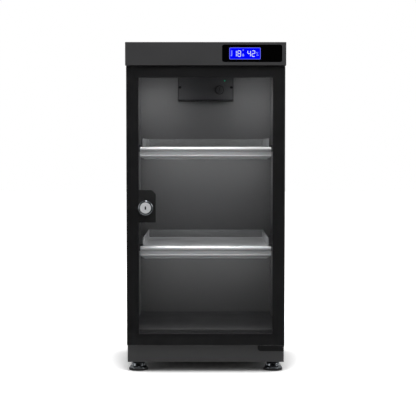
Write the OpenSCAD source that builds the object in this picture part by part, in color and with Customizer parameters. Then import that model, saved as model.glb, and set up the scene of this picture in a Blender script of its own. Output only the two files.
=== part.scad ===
// Camera dry cabinet: a steel cabinet on four levelling feet, with a framed glass door,
// two pull-out trays, a display console on top and a cooling dehumidifier on the back wall.
// X runs to the right seen from the front, Y to the back, Z up. The feet stand at Z zero.

/* [Cabinet body] */
// Outside width of the steel body
body_w = 315; // [300:1:340]
// Depth of the steel body behind the door
body_d = 264; // [250:1:300]
// Height of the steel body from its underside to its roof
body_h = 593.7; // [560:0.1:640]
// Height of the plinth below the door
plinth_h = 37; // [34:0.5:44]
// Thickness of the outer steel sheet
sheet_t = 1.2; // [1:0.1:1.6]
// Thickness of the inner wall sheet
liner_t = 1.2; // [1:0.1:1.6]
// Hollow between a side panel and its inner wall
side_gap = 11.6; // [11:0.1:14]
// Distance from the inner back wall to the outside of the back
rear_gap = 7; // [6:0.1:9]
// Distance from the ceiling to the outside of the roof
roof_gap = 7.5; // [6.5:0.1:10]
// Height of the front sill above the plinth
sill_h = 23.8; // [22:0.1:28]
// Height of the inner floor above the sill
floor_step = 6.4; // [4:0.1:9]
// Height of the rail above the front opening
head_h = 18.5; // [17.5:0.1:22]

/* [Door] */
// Thickness of the door glass
glass_t = 4; // [3:0.5:5]
// Depth of the door frame behind the glass
frame_d = 10; // [9:0.5:14]
// Width of the door frame at the two sides
stile_w = 24; // [20:0.5:28]
// Height of the door frame at the top
top_rail_h = 22; // [18:0.5:26]
// Height of the door frame at the bottom
bottom_rail_h = 22.7; // [18:0.1:26]
// Gap between the door and the console above it
door_gap = 2; // [1.5:0.1:3]
// How far each door edge lies inside the body's side
door_inset = 0.3; // [0:0.1:1]
// Width of the door gasket
gasket_w = 8.5; // [7:0.5:9]
// Thickness of the door gasket
gasket_t = 6.7; // [5:0.1:8]
// Distance of the hinge axis from the door's edge
pivot_inset = 5.2; // [5:0.1:7]
// Diameter of the hinge pins
pin_d = 5; // [4:0.5:5.5]

/* [Lock] */
// Distance of the lock's centre from the door's free edge
lock_inset = 37.8; // [36:0.1:44]
// Height of the lock's centre above the bottom of the door
lock_rise = 274.8; // [240:0.1:345]
// Diameter of the lock's flange
flange_d = 31; // [28:0.5:34]
// Diameter of the lock's face
lock_face_d = 22; // [20:0.5:24]
// Diameter of the lock's barrel behind the flange
barrel_d = 19; // [18:0.5:20]
// Diameter of the turning plug
plug_d = 14; // [13.5:0.5:15]
// Length of the cam from the lock's centre to its tip
cam_reach = 31; // [30:0.5:33]

/* [Trays] */
// Height of the lower tray's deck above the inner floor
lower_deck_h = 165.9; // [140:0.1:190]
// Height between the upper tray's deck and the dehumidifier's underside
upper_bay_h = 100.3; // [75:0.1:125]
// Width of a tray runner on the inner wall
runner_w = 16.4; // [14:0.1:20]
// Distance of a tray's front behind the front of the body
tray_inset = 9; // [8:0.5:14]
// Gap between a tray's back and the inner back wall
tray_rear_gap = 6; // [4:0.5:30]
// Height of a tray's side walls above the deck
tray_wall_h = 17; // [10:0.5:24]
// Thickness of a tray's walls
tray_wall_t = 2; // [1.5:0.1:2.5]
// Thickness of a tray's deck
deck_t = 3; // [2:0.1:4]
// Height of a tray's front
tray_front_h = 22.6; // [18:0.1:28]
// Height of the bright band along the top of a tray's front
tray_band_h = 7; // [5:0.5:9]

/* [Console] */
// Height of the console on top of the body
console_h = 45.6; // [42:0.1:55]
// How far the console stands out past each side of the body
console_lip = 1.5; // [0.5:0.1:3]
// Wall thickness of the console cover
console_wall = 2.5; // [2:0.1:3]
// Width of the display panel
display_w = 115.7; // [108:0.1:120]
// Height of the display panel
display_h = 34; // [32:0.1:36]
// Width of the lit display
lcd_w = 63.1; // [56:0.1:66]
// Height of the lit display
lcd_h = 24.5; // [22:0.1:26]

/* [Dehumidifier] */
// Width of the dehumidifier housing
unit_w = 120; // [114:1:140]
// Height of the dehumidifier housing below the ceiling
unit_h = 53.3; // [51:0.1:60]
// Depth of the dehumidifier housing
unit_d = 50; // [44:1:60]
// Diameter of the humidity dial
dial_d = 19.5; // [16:0.5:22]
// Depth of the rear vent cover
vent_d = 24; // [21:0.5:30]
// Width of the rear vent cover
vent_w = 110; // [100:1:130]
// Height of the rear vent cover
vent_h = 84; // [80:1:100]

/* [Feet] */
// Diameter of a foot's rubber pad
pad_d = 37; // [34:0.5:40]
// Height of a foot's rubber pad
pad_h = 5; // [4:0.5:7]
// Diameter of a foot's hub
hub_d = 20; // [16:0.5:24]
// Height of a foot's hub
hub_h = 10.4; // [9:0.1:14]
// Diameter of a foot's threaded stem
stem_d = 8; // [6:0.5:10]
// Distance of a foot's centre from the body's side
foot_side = 21.2; // [20:0.1:30]
// Distance of a foot's centre from the body's front or back
foot_inset = 22; // [20:0.5:40]

/* [Hidden] */

$fn = 48;
// Overrun that carries a cut clear through a face
cut = 0.5;
// Gap on each side of a shaft that turns or slides in its bore
run_fit = 0.05;
// Gap around a piece that stands still in its hole
loose_fit = 0.2;
// Gap between faces that pass each other
slide_gap = 0.3;

// Foot: cup between pad and hub, gap under the body, thread above the hub
cup_h = 3.2;
cup_d = 35;
cup_top_d = 30;
foot_gap = 0.2;
stem_h = 20;
insert_h = 16;
insert_wall = 2.5;
insert_flange_w = 6;
insert_flange_t = 1.5;

// Levels from the floor up
base_z = pad_h + cup_h + hub_h + foot_gap;
plinth_top_z = base_z + plinth_h;
body_top_z = base_z + body_h;
console_top_z = body_top_z + console_h;
sill_z = plinth_top_z + sill_h;
floor_z = sill_z + floor_step;
head_z = body_top_z - head_h;
ceiling_z = body_top_z - roof_gap;
door_z0 = plinth_top_z;
door_z1 = body_top_z - door_gap;
lower_deck_z = floor_z + lower_deck_h;
upper_deck_z = ceiling_z - unit_h - upper_bay_h;

// Half widths
side_x = body_w / 2;
panel_x = side_x - sheet_t;
liner_x = panel_x - side_gap;
inner_x = liner_x - liner_t;
door_x = side_x - door_inset;
window_x = door_x - stile_w;
console_x = side_x + console_lip;

// Lock: flange, cone and face in front of the glass
flange_t = 1.5;
cone_t = 3.5;
cone_top_d = 24;
face_t = 2;
lock_out = flange_t + cone_t + face_t;

// Planes from the front to the back, centred on the whole depth
door_t = glass_t + frame_d + gasket_t + slide_gap;
whole_d = lock_out + door_t + body_d + vent_d;
door_y = lock_out - whole_d / 2;
face_y = door_y + door_t;
back_y = face_y + body_d;
rear_y = back_y + vent_d;
wall_y = back_y - rear_gap;
frame_y = door_y + glass_t;
gasket_y = frame_y + frame_d;

// Rear flanges that take the back panel's screws
return_w = 10;
// Stiffening edge along the back of the base
rear_skirt_h = 14;

// Screws: a pan head on a straight shank
screw_d = 3;
screw_head_d = 5.6;
screw_head_t = 2;
screw_len = 6;
screw_hole_d = screw_d + loose_fit;

// Hinge brackets
pivot_x = door_x - pivot_inset;
pivot_y = frame_y + frame_d / 2;
hinge_gap = 0.5;
bracket_t = 2.5;
bracket_w = 53;
bracket_drop = 8;
bracket_corner = 6;
bracket_flange_t = 3;
upper_bracket_w = 29;
upper_bracket_back = 30;
bracket_front_gap = 0.5;
pin_h = 8;
bush_wall = 1.2;
bush_d = pin_d + 2 * run_fit + 2 * bush_wall;
bush_h = 12;

// Door gasket: its inner edge lies just outside the front opening
gasket_margin = 1.5;
gasket_x = inner_x + gasket_margin;
gasket_z0 = sill_z - gasket_margin;
gasket_z1 = head_z + gasket_margin;

// Lock plate behind the glass, barrel, nut and cam
lock_x = lock_inset - door_x;
lock_z = door_z0 + lock_rise;
lock_plate_w = 34;
lock_plate_up = 35.7;
lock_plate_down = 29.2;
lock_plate_corner = 8;
nut_t = 4;
nut_d = 25;
strike_t = 2;
strike_h = 44;
strike_gap = 0.8;
cam_t = 2.5;
cam_w = 14;
cam_gap = 0.5;
cam_square = 9;
cam_y = face_y + sheet_t + strike_t + cam_gap;
plug_recess = 0.4;
key_slot_w = 3.2;
key_slot_h = 7;
key_slot_d = 9;
cam_screw_d = 4;
cam_screw_head_d = 14;
cam_screw_head_t = 2.2;
cam_screw_len = 9;

// Trays and runners
tray_y = face_y + tray_inset;
tray_y1 = wall_y - tray_rear_gap;
tray_front_t = 3;
tray_band_out = 1.2;
tray_front_lip = 5;
tray_corner = 7;
tray_rib_h = 2;
tray_rib_t = 1.5;
tray_rib_inset = 8;
tongue_w = 4.5;
runner_x = inner_x - runner_w;
tray_side_x = runner_x - 2 * slide_gap;
wall_x = tray_side_x - tray_wall_t;
tongue_x = tray_side_x + tongue_w;
tray_front_x = tray_side_x + tray_front_lip;
runner_y = tray_y + tray_front_t + tray_rib_t + slide_gap;
runner_rear_gap = 2;
runner_below = 6;
runner_above = 4;
strike_window_up = 10;
strike_window_down = 34;
strike_window_d = 10;

// Console: display panel let into the front wall
bezel_t = 1.5;
bezel_corner = 4;
display_side = 10;
display_rise = 6.4;
lcd_side = 12.6;
lcd_rise = 4.3;
lcd_rim = 2.8;
lcd_t = 5.5;
pcb_t = 1.6;
pcb_rim = 6;
post_d = 5;
under_lip_t = 1.5;
boss_w = 9;
boss_h = 14;
boss_inset = 14;
display_x1 = console_x - display_side;
display_x0 = display_x1 - display_w;
display_z0 = body_top_z + display_rise;
lcd_x0 = display_x0 + lcd_side;
lcd_z0 = display_z0 + lcd_rise;
lcd_y1 = door_y + bezel_t + lcd_t;
board_x0 = lcd_x0 - pcb_rim;
board_x1 = display_x1 - pcb_rim;

// Dehumidifier on the inner back wall
unit_wall = 1.8;
unit_face_t = 2;
unit_x = unit_w / 2;
unit_z0 = ceiling_z - unit_h;
unit_y = wall_y - unit_d;
board_back = 7;
board_w = 96;
board_h = 40;
board_rise = 5;
dial_x = 29.8;
dial_rise = 22.6;
dial_t = 6;
dial_stem_d = 6;
dial_stem_h = 6.5;
dial_mark_w = 1.2;
dial_mark_d = 0.6;
dial_stem_gap = 0.3;
pot_d = 16;
led_x = 41;
led_rise = 42.4;
led_d = 3;
unit_screw_inset = 4.5;
unit_screw_x = unit_x - unit_screw_inset;
unit_screw_rise = 28.3;
unit_boss_w = 6;
unit_boss_d = 10;
unit_slot_w = 3;
unit_slot_l = 26;
unit_slot_pitch = 9;
unit_slot_count = 9;
tile_w = 40;
tile_t = 3.8;
tile_rise = 25;
cold_w = 50;
cold_h = 42;
cold_base_t = 3;
cold_fin_h = 14;
hot_w = 60;
hot_h = 54;
hot_base_t = 3;
hot_fin_h = 15;
fin_t = 1.4;
fin_count = 9;
sensor_w = 12;
sensor_d = 8;
sensor_h = 5;
tile_z = unit_z0 + tile_rise;

// Wiring between the display board and the control board
loom_d = 4.5;
loom_bend_r = 8;
loom_x = 46;
loom_rise = 13;
loom_end_rise = 10;
loom_hole_d = 7;
loom_y = unit_y + board_back + pcb_t + loose_fit + loom_d / 2;

// Rear vent cover and power socket
vent_wall = 2;
vent_top_gap = 4;
vent_z1 = body_top_z - vent_top_gap;
vent_z0 = vent_z1 - vent_h;
vent_ear = 11;
vent_slot_h = 3;
vent_slot_pitch = 7;
vent_slot_count = 7;
vent_slot_side = 12;
vent_slot_rise = 28;
socket_rise = 14;
socket_side = 20;
socket_d = 11;
socket_nut_d = 14;
socket_nut_t = 1.5;
socket_len = 12;
socket_bore_d = 5.6;
socket_bore_len = 9;
socket_pin_d = 2;
socket_x = socket_side - vent_w / 2;
socket_z = vent_z0 + socket_rise;

// Paint, metal and moulded colours
steel_paint = "#3c3c3e";
inner_paint = "#5a5a5c";
black_plastic = "#1a1a1b";
tray_white = "#b9bcc0";
bright_metal = "#c8c9cc";
board_green = "#1f5a35";

// A block between two opposite corners
module span(low, high) {
    translate(low) cube(high - low);
}

// An outline in X and Z, thickened towards the back from the plane at y
module upright(y, thick) {
    translate([0, y + thick, 0]) rotate([90, 0, 0]) linear_extrude(thick) children();
}

// A round bar along Y
module y_bar(x, z, y0, y1, d) {
    translate([x, y0, z]) rotate([-90, 0, 0]) cylinder(d = d, h = y1 - y0);
}

// A round bar along Z
module z_bar(x, y, z0, z1, d) {
    translate([x, y, z0]) cylinder(d = d, h = z1 - z0);
}

// A cone along Y between two diameters
module y_cone(x, z, y0, y1, d0, d1) {
    translate([x, y0, z]) rotate([-90, 0, 0]) cylinder(d1 = d0, d2 = d1, h = y1 - y0);
}

// A rectangle in X and Z between two corners
module panel_outline(x0, z0, x1, z1) {
    translate([x0, z0]) square([x1 - x0, z1 - z0]);
}

// A rectangle with round corners between two corners
module round_outline(x0, z0, x1, z1, r) {
    panel_outline(x0 + r, z0, x1 - r, z1);
    panel_outline(x0, z0 + r, x1, z1 - r);
    for (x = [x0 + r, x1 - r])
        for (z = [z0 + r, z1 - r])
            translate([x, z]) circle(r);
}

// A pan-head screw; its head rests at the origin and its shank points along +Z
module pan_screw(len) {
    cylinder(d = screw_d, h = len);
    translate([0, 0, -screw_head_t]) cylinder(d = screw_head_d, h = screw_head_t);
}

// Places shared by screws and the holes that take them
back_screw_x = panel_x - return_w / 2;
back_screw_zs = [base_z + rear_skirt_h + return_w, (base_z + body_top_z) / 2, vent_z0 - return_w];
vent_screw_x = vent_w / 2 + vent_ear / 2;
vent_screw_zs = [vent_z0 + vent_ear, vent_z1 - vent_ear];
lower_screw_xs = [pivot_x - bracket_w + 3 * screw_head_d, pivot_x - 2 * screw_head_d];
lower_screw_z = plinth_top_z - hinge_gap - bracket_t - (bracket_drop - bracket_t) / 2;
upper_screw_x = pivot_x - upper_bracket_w / 2;
upper_screw_ys = [face_y + upper_bracket_back / 3, face_y + 2 * upper_bracket_back / 3];
console_screw_xs = [boss_inset - console_x, console_x - boss_inset];
console_screw_ys = [face_y + upper_bracket_back + boss_inset, back_y - boss_inset];
foot_xs = [foot_side - side_x, side_x - foot_side];
foot_ys = [face_y + foot_inset, back_y - foot_inset];

// Outer body

module side_panel(side) {
    color(steel_paint) mirror([side < 0 ? 1 : 0, 0, 0]) {
        span([panel_x, face_y, base_z], [side_x, back_y, body_top_z]);
        difference() {
            span([panel_x - return_w, back_y - 2 * sheet_t, base_z + rear_skirt_h],
                [panel_x, back_y - sheet_t, body_top_z - sheet_t]);
            for (z = back_screw_zs)
                y_bar(back_screw_x, z, back_y - 3 * sheet_t, back_y, screw_hole_d);
        }
    }
}

module roof_panel() {
    color(steel_paint) difference() {
        span([-panel_x, face_y, body_top_z - sheet_t], [panel_x, back_y, body_top_z]);
        z_bar(loom_x, loom_y, body_top_z - sheet_t - cut, body_top_z + cut, loom_hole_d);
        for (y = upper_screw_ys)
            z_bar(upper_screw_x, y, body_top_z - sheet_t - cut, body_top_z + cut, screw_hole_d);
        for (x = console_screw_xs)
            for (y = console_screw_ys)
                z_bar(x, y, body_top_z - sheet_t - cut, body_top_z + cut, screw_hole_d);
    }
}

module base_panel() {
    color(steel_paint) difference() {
        union() {
            span([-panel_x, face_y, base_z], [panel_x, back_y, base_z + sheet_t]);
            span([-panel_x, face_y, base_z], [panel_x, face_y + sheet_t, plinth_top_z]);
            span([-panel_x, back_y - 2 * sheet_t, base_z],
                [panel_x, back_y - sheet_t, base_z + rear_skirt_h]);
        }
        for (x = foot_xs)
            for (y = foot_ys)
                z_bar(x, y, base_z - cut, base_z + sheet_t + cut, stem_d + 2 * slide_gap);
        for (x = lower_screw_xs)
            y_bar(x, lower_screw_z, face_y - cut, face_y + sheet_t + cut, screw_hole_d);
    }
}

module back_panel() {
    color(steel_paint) difference() {
        span([-panel_x, back_y - sheet_t, base_z + sheet_t],
            [panel_x, back_y, body_top_z - sheet_t]);
        span([-hot_w / 2 - slide_gap, back_y - sheet_t - cut, tile_z - hot_h / 2 - slide_gap],
            [hot_w / 2 + slide_gap, back_y + cut, tile_z + hot_h / 2 + slide_gap]);
        for (x = [-back_screw_x, back_screw_x])
            for (z = back_screw_zs)
                y_bar(x, z, back_y - sheet_t - cut, back_y + cut, screw_hole_d);
        for (x = [-vent_screw_x, vent_screw_x])
            for (z = vent_screw_zs)
                y_bar(x, z, back_y - sheet_t - cut, back_y + cut, screw_hole_d);
    }
}

module face_frame() {
    color(steel_paint) upright(face_y, sheet_t) difference() {
        panel_outline(-panel_x, plinth_top_z, panel_x, body_top_z - sheet_t);
        panel_outline(-inner_x, sill_z, inner_x, head_z);
    }
}

// Inner walls

module inner_wall(side) {
    x0 = side < 0 ? -liner_x : inner_x;
    x1 = side < 0 ? -inner_x : liner_x;
    color(inner_paint) difference() {
        span([x0, face_y + sheet_t, sill_z], [x1, wall_y + liner_t, ceiling_z]);
        if (side < 0)
            span([x0 - cut, face_y + sheet_t - cut, lock_z - strike_window_down],
                [x1 + cut, face_y + sheet_t + strike_window_d, lock_z + strike_window_up]);
    }
}

module ceiling_liner() {
    color(inner_paint) difference() {
        span([-liner_x, face_y + sheet_t, ceiling_z],
            [liner_x, wall_y + liner_t, ceiling_z + liner_t]);
        z_bar(loom_x, loom_y, ceiling_z - cut, ceiling_z + liner_t + cut, loom_hole_d);
    }
}

module back_liner() {
    color(inner_paint) difference() {
        span([-inner_x, wall_y, sill_z], [inner_x, wall_y + liner_t, ceiling_z]);
        span([-tile_w / 2 - loose_fit, wall_y - cut, tile_z - tile_w / 2 - loose_fit],
            [tile_w / 2 + loose_fit, wall_y + liner_t + cut, tile_z + tile_w / 2 + loose_fit]);
    }
}

module floor_deck() {
    color(inner_paint) {
        span([-inner_x, face_y, floor_z - liner_t], [inner_x, wall_y, floor_z]);
        span([-inner_x, face_y, sill_z], [inner_x, face_y + sheet_t, floor_z]);
    }
}

// Runner on the right inner wall, with a groove for the tray's tongue
module runner(deck_z, side) {
    color(inner_paint) mirror([side < 0 ? 1 : 0, 0, 0]) difference() {
        span([runner_x, runner_y, deck_z - deck_t - slide_gap - runner_below],
            [inner_x, wall_y - runner_rear_gap, deck_z + slide_gap + runner_above]);
        span([runner_x - cut, runner_y - cut, deck_z - deck_t - slide_gap],
            [tongue_x + slide_gap, wall_y, deck_z + slide_gap]);
    }
}

module strike_plate() {
    color(bright_metal)
        span([strike_gap - panel_x, face_y + sheet_t, lock_z - strike_h / 2],
            [-liner_x - strike_gap, face_y + sheet_t + strike_t, lock_z + strike_h / 2]);
}

// Hinges and fasteners

module upper_hinge_bracket() {
    z0 = body_top_z;
    color(black_plastic) difference() {
        union() {
            span([pivot_x - upper_bracket_w, door_y + console_wall + bracket_front_gap, z0],
                [console_x - console_wall - bracket_front_gap, face_y + upper_bracket_back,
                    z0 + bracket_t]);
            z_bar(pivot_x, pivot_y, door_z1 - pin_h, z0 + bracket_t, pin_d);
        }
        for (y = upper_screw_ys)
            z_bar(upper_screw_x, y, z0 - cut, z0 + bracket_t + cut, screw_hole_d);
    }
}

module lower_hinge_bracket() {
    z1 = plinth_top_z - hinge_gap;
    x0 = door_x - bracket_w;
    z0 = z1 - bracket_drop;
    color(black_plastic) {
        span([x0 + bracket_corner, frame_y - glass_t / 2, z1 - bracket_t],
            [door_x, face_y - bracket_flange_t, z1]);
        z_bar(pivot_x, pivot_y, z1 - bracket_t, door_z0 + pin_h, pin_d);
        difference() {
            upright(face_y - bracket_flange_t, bracket_flange_t) {
                panel_outline(x0 + bracket_corner, z0, door_x, z1);
                panel_outline(x0, z0 + bracket_corner, door_x, z1);
                translate([x0 + bracket_corner, z0 + bracket_corner]) circle(bracket_corner);
            }
            for (x = lower_screw_xs)
                y_bar(x, lower_screw_z, face_y - 2 * bracket_flange_t / 3, face_y + cut,
                    screw_hole_d);
        }
    }
}

module panel_screws() {
    color(bright_metal) {
        for (x = [-back_screw_x, back_screw_x])
            for (z = back_screw_zs)
                translate([x, back_y, z]) rotate([90, 0, 0]) pan_screw(screw_len);
        for (x = [-vent_screw_x, vent_screw_x])
            for (z = vent_screw_zs)
                translate([x, back_y + vent_wall, z]) rotate([90, 0, 0])
                    pan_screw(vent_wall + sheet_t);
        for (x = lower_screw_xs)
            translate([x, face_y + sheet_t, lower_screw_z]) rotate([90, 0, 0])
                pan_screw(sheet_t + bracket_flange_t / 2);
        for (y = upper_screw_ys)
            translate([upper_screw_x, y, body_top_z + bracket_t]) rotate([180, 0, 0])
                pan_screw(bracket_t + sheet_t);
        for (x = console_screw_xs)
            for (y = console_screw_ys)
                translate([x, y, body_top_z - sheet_t]) pan_screw(sheet_t + screw_len);
        for (x = [-unit_screw_x, unit_screw_x])
            translate([x, unit_y, unit_z0 + unit_screw_rise]) rotate([-90, 0, 0])
                pan_screw(unit_face_t + screw_len);
    }
}

module foot_inserts() {
    z0 = base_z + sheet_t;
    color(bright_metal)
        for (x = foot_xs)
            for (y = foot_ys)
                difference() {
                    union() {
                        z_bar(x, y, z0, z0 + insert_h, stem_d + 2 * insert_wall);
                        z_bar(x, y, z0, z0 + insert_flange_t, stem_d + 2 * insert_flange_w);
                    }
                    z_bar(x, y, z0 - cut, z0 + insert_h + cut, stem_d + 2 * run_fit);
                }
}

// Console

// Hood of one sheet: top, sides and rear, with four bosses for its screws
module console_cover() {
    z0 = body_top_z;
    w = console_wall;
    color(steel_paint) difference() {
        union() {
            difference() {
                span([-console_x, door_y, z0], [console_x, back_y, console_top_z]);
                span([w - console_x, door_y - cut, z0 - cut],
                    [console_x - w, back_y - w, console_top_z - w]);
            }
            for (x = console_screw_xs)
                for (y = console_screw_ys)
                    span([x < 0 ? w / 2 - console_x : x - boss_w / 2, y - boss_w / 2, z0],
                        [x < 0 ? x + boss_w / 2 : console_x - w / 2, y + boss_w / 2,
                            z0 + boss_h]);
        }
        for (x = console_screw_xs)
            for (y = console_screw_ys)
                z_bar(x, y, z0 - cut, z0 + screw_len + cut, screw_hole_d);
    }
}

// Front wall set between the hood's sides, and the strip that closes the underside above the door
module console_fascia() {
    z0 = body_top_z;
    w = console_wall;
    color(steel_paint) difference() {
        union() {
            span([w - console_x, door_y, z0], [console_x - w, door_y + w, console_top_z - w]);
            span([w - console_x, door_y + w, z0],
                [pivot_x - upper_bracket_w - bracket_front_gap, face_y - slide_gap,
                    z0 + under_lip_t]);
            for (z = [display_z0 + display_h / 3, display_z0 + 2 * display_h / 3])
                y_bar(lcd_x0 + lcd_w + lcd_rim + 2 * post_d, z, door_y + w, lcd_y1, post_d);
        }
        upright(door_y - cut, bezel_t + cut)
            round_outline(display_x0 - loose_fit, display_z0 - loose_fit,
                display_x1 + loose_fit, display_z0 + display_h + loose_fit,
                bezel_corner + loose_fit);
        upright(door_y, w + cut)
            panel_outline(lcd_x0 - lcd_rim - loose_fit, lcd_z0 - lcd_rim - loose_fit,
                lcd_x0 + lcd_w + lcd_rim + loose_fit, lcd_z0 + lcd_h + lcd_rim + loose_fit);
    }
}

module display_bezel() {
    color(black_plastic) upright(door_y, bezel_t) difference() {
        round_outline(display_x0, display_z0, display_x1, display_z0 + display_h, bezel_corner);
        panel_outline(lcd_x0, lcd_z0, lcd_x0 + lcd_w, lcd_z0 + lcd_h);
    }
}

module lcd_module() {
    color("#1a30f0")
        span([lcd_x0 - lcd_rim, door_y + bezel_t, lcd_z0 - lcd_rim],
            [lcd_x0 + lcd_w + lcd_rim, lcd_y1, lcd_z0 + lcd_h + lcd_rim]);
}

module display_board() {
    color(board_green)
        span([board_x0, lcd_y1, display_z0 + pcb_t],
            [board_x1, lcd_y1 + pcb_t, display_z0 + display_h - pcb_t]);
}

module wiring_loom() {
    z1 = body_top_z + loom_rise;
    color(black_plastic) {
        y_bar(loom_x, z1, lcd_y1 + pcb_t, loom_y - loom_bend_r, loom_d);
        translate([loom_x, loom_y - loom_bend_r, z1 - loom_bend_r]) rotate([90, 0, 90])
            rotate_extrude(angle = 90) translate([loom_bend_r, 0]) circle(d = loom_d);
        z_bar(loom_x, loom_y, ceiling_z - loom_end_rise, z1 - loom_bend_r, loom_d);
    }
}

// Dehumidifier

module unit_housing() {
    w = unit_wall;
    boss_z = unit_z0 + unit_screw_rise;
    color(black_plastic) difference() {
        union() {
            span([-unit_x, unit_y + unit_face_t, unit_z0], [w - unit_x, wall_y, ceiling_z]);
            span([unit_x - w, unit_y + unit_face_t, unit_z0], [unit_x, wall_y, ceiling_z]);
            span([-unit_x, unit_y + unit_face_t, unit_z0], [unit_x, wall_y, unit_z0 + w]);
            for (side = [-1, 1])
                span([side * (unit_screw_x + w / 2) - unit_boss_w / 2, unit_y + unit_face_t,
                        boss_z - unit_boss_w / 2],
                    [side * (unit_screw_x + w / 2) + unit_boss_w / 2,
                        unit_y + unit_face_t + unit_boss_d, boss_z + unit_boss_w / 2]);
        }
        for (x = [-unit_screw_x, unit_screw_x])
            y_bar(x, boss_z, unit_y, unit_y + unit_face_t + screw_len + cut, screw_hole_d);
        for (i = [0 : unit_slot_count - 1])
            translate([(i - (unit_slot_count - 1) / 2) * unit_slot_pitch, 0, 0])
                span([-unit_slot_w / 2, wall_y - unit_slot_l - w, unit_z0 - cut],
                    [unit_slot_w / 2, wall_y - w, unit_z0 + w + cut]);
    }
}

module unit_face() {
    color(black_plastic) difference() {
        span([-unit_x, unit_y, unit_z0], [unit_x, unit_y + unit_face_t, ceiling_z]);
        y_bar(dial_x, unit_z0 + dial_rise, unit_y - cut, unit_y + unit_face_t + cut,
            dial_stem_d + 2 * dial_stem_gap);
        y_bar(led_x, unit_z0 + led_rise, unit_y - cut, unit_y + unit_face_t + cut,
            led_d + loose_fit);
        for (x = [-unit_screw_x, unit_screw_x])
            y_bar(x, unit_z0 + unit_screw_rise, unit_y - cut, unit_y + unit_face_t + cut,
                screw_hole_d);
    }
}

module control_board() {
    y0 = unit_y + board_back;
    color(board_green)
        span([-board_w / 2, y0, unit_z0 + board_rise],
            [board_w / 2, y0 + pcb_t, unit_z0 + board_rise + board_h]);
}

module potentiometer() {
    z = unit_z0 + dial_rise;
    color(bright_metal) difference() {
        y_bar(dial_x, z, unit_y + unit_face_t, unit_y + board_back, pot_d);
        y_bar(dial_x, z, unit_y, unit_y + board_back + cut, dial_stem_d + 2 * run_fit);
    }
}

module status_led() {
    color("#2fd08a") y_bar(led_x, unit_z0 + led_rise, unit_y, unit_y + board_back, led_d);
}

module humidity_sensor() {
    color(tray_white)
        span([-sensor_w / 2, unit_y + board_back + pcb_t, unit_z0 + unit_wall],
            [sensor_w / 2, unit_y + board_back + pcb_t + sensor_d,
                unit_z0 + unit_wall + sensor_h]);
}

module peltier_tile() {
    color(tray_white)
        span([-tile_w / 2, wall_y, tile_z - tile_w / 2],
            [tile_w / 2, wall_y + tile_t, tile_z + tile_w / 2]);
}

// A finned plate: the base lies between y0 and y1, the fins run on to y2
module sink(w, h, y0, y1, y2) {
    color(bright_metal) {
        span([-w / 2, min(y0, y1), tile_z - h / 2], [w / 2, max(y0, y1), tile_z + h / 2]);
        for (i = [0 : fin_count - 1])
            translate([(i / (fin_count - 1) - 1 / 2) * (w - fin_t), 0, 0])
                span([-fin_t / 2, min(y1, y2), tile_z - h / 2],
                    [fin_t / 2, max(y1, y2), tile_z + h / 2]);
    }
}

module cold_sink() {
    sink(cold_w, cold_h, wall_y, wall_y - cold_base_t, wall_y - cold_base_t - cold_fin_h);
}

module hot_sink() {
    y0 = wall_y + tile_t;
    sink(hot_w, hot_h, y0, y0 + hot_base_t, y0 + hot_base_t + hot_fin_h);
}

module rear_vent_cover() {
    x1 = vent_w / 2;
    w = vent_wall;
    color(steel_paint) difference() {
        union() {
            span([-x1, back_y, vent_z0], [x1, rear_y, vent_z1]);
            for (z = vent_screw_zs)
                span([-x1 - vent_ear, back_y, z - vent_ear / 2],
                    [x1 + vent_ear, back_y + w, z + vent_ear / 2]);
        }
        span([w - x1, back_y - cut, vent_z0 + w], [x1 - w, rear_y - w, vent_z1 - w]);
        for (i = [0 : vent_slot_count - 1])
            translate([0, 0, vent_z0 + vent_slot_rise + i * vent_slot_pitch])
                span([vent_slot_side - x1, rear_y - w - cut, 0],
                    [x1 - vent_slot_side, rear_y + cut, vent_slot_h]);
        for (x = [-vent_screw_x, vent_screw_x])
            for (z = vent_screw_zs)
                y_bar(x, z, back_y - cut, back_y + w + cut, screw_hole_d);
        y_bar(socket_x, socket_z, rear_y - w - cut, rear_y + cut, socket_d + loose_fit);
    }
}

module power_socket() {
    y1 = rear_y;
    color(black_plastic) difference() {
        union() {
            y_bar(socket_x, socket_z, y1 - socket_len, y1, socket_d);
            y_bar(socket_x, socket_z, y1 - vent_wall - socket_nut_t, y1 - vent_wall,
                socket_nut_d);
        }
        y_bar(socket_x, socket_z, y1 - socket_bore_len, y1 + cut, socket_bore_d);
    }
    color(bright_metal)
        y_bar(socket_x, socket_z, y1 - socket_len, y1 - vent_wall / 2, socket_pin_d);
}

// Door

module door_glass() {
    color([0.75, 0.8, 0.82, 0.35]) difference() {
        span([-door_x, door_y, door_z0], [door_x, frame_y, door_z1]);
        y_bar(lock_x, lock_z, door_y - cut, frame_y + cut, barrel_d + 2 * loose_fit);
    }
}

module door_frame() {
    color(black_plastic) difference() {
        upright(frame_y, frame_d) difference() {
            panel_outline(-door_x, door_z0, door_x, door_z1);
            panel_outline(-window_x, door_z0 + bottom_rail_h, window_x, door_z1 - top_rail_h);
        }
        z_bar(pivot_x, pivot_y, door_z0 - cut, door_z0 + bush_h, bush_d);
        z_bar(pivot_x, pivot_y, door_z1 - bush_h, door_z1 + cut, bush_d);
    }
}

module door_gasket() {
    g = gasket_w;
    color("#101011") upright(gasket_y, gasket_t) difference() {
        panel_outline(-gasket_x - g, gasket_z0 - g, gasket_x + g, gasket_z1 + g);
        panel_outline(-gasket_x, gasket_z0, gasket_x, gasket_z1);
    }
}

module hinge_bushes() {
    color(bright_metal)
        for (z = [door_z0, door_z1 - bush_h])
            difference() {
                z_bar(pivot_x, pivot_y, z, z + bush_h, bush_d);
                z_bar(pivot_x, pivot_y, z - cut, z + bush_h + cut, pin_d + 2 * run_fit);
            }
}

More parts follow.
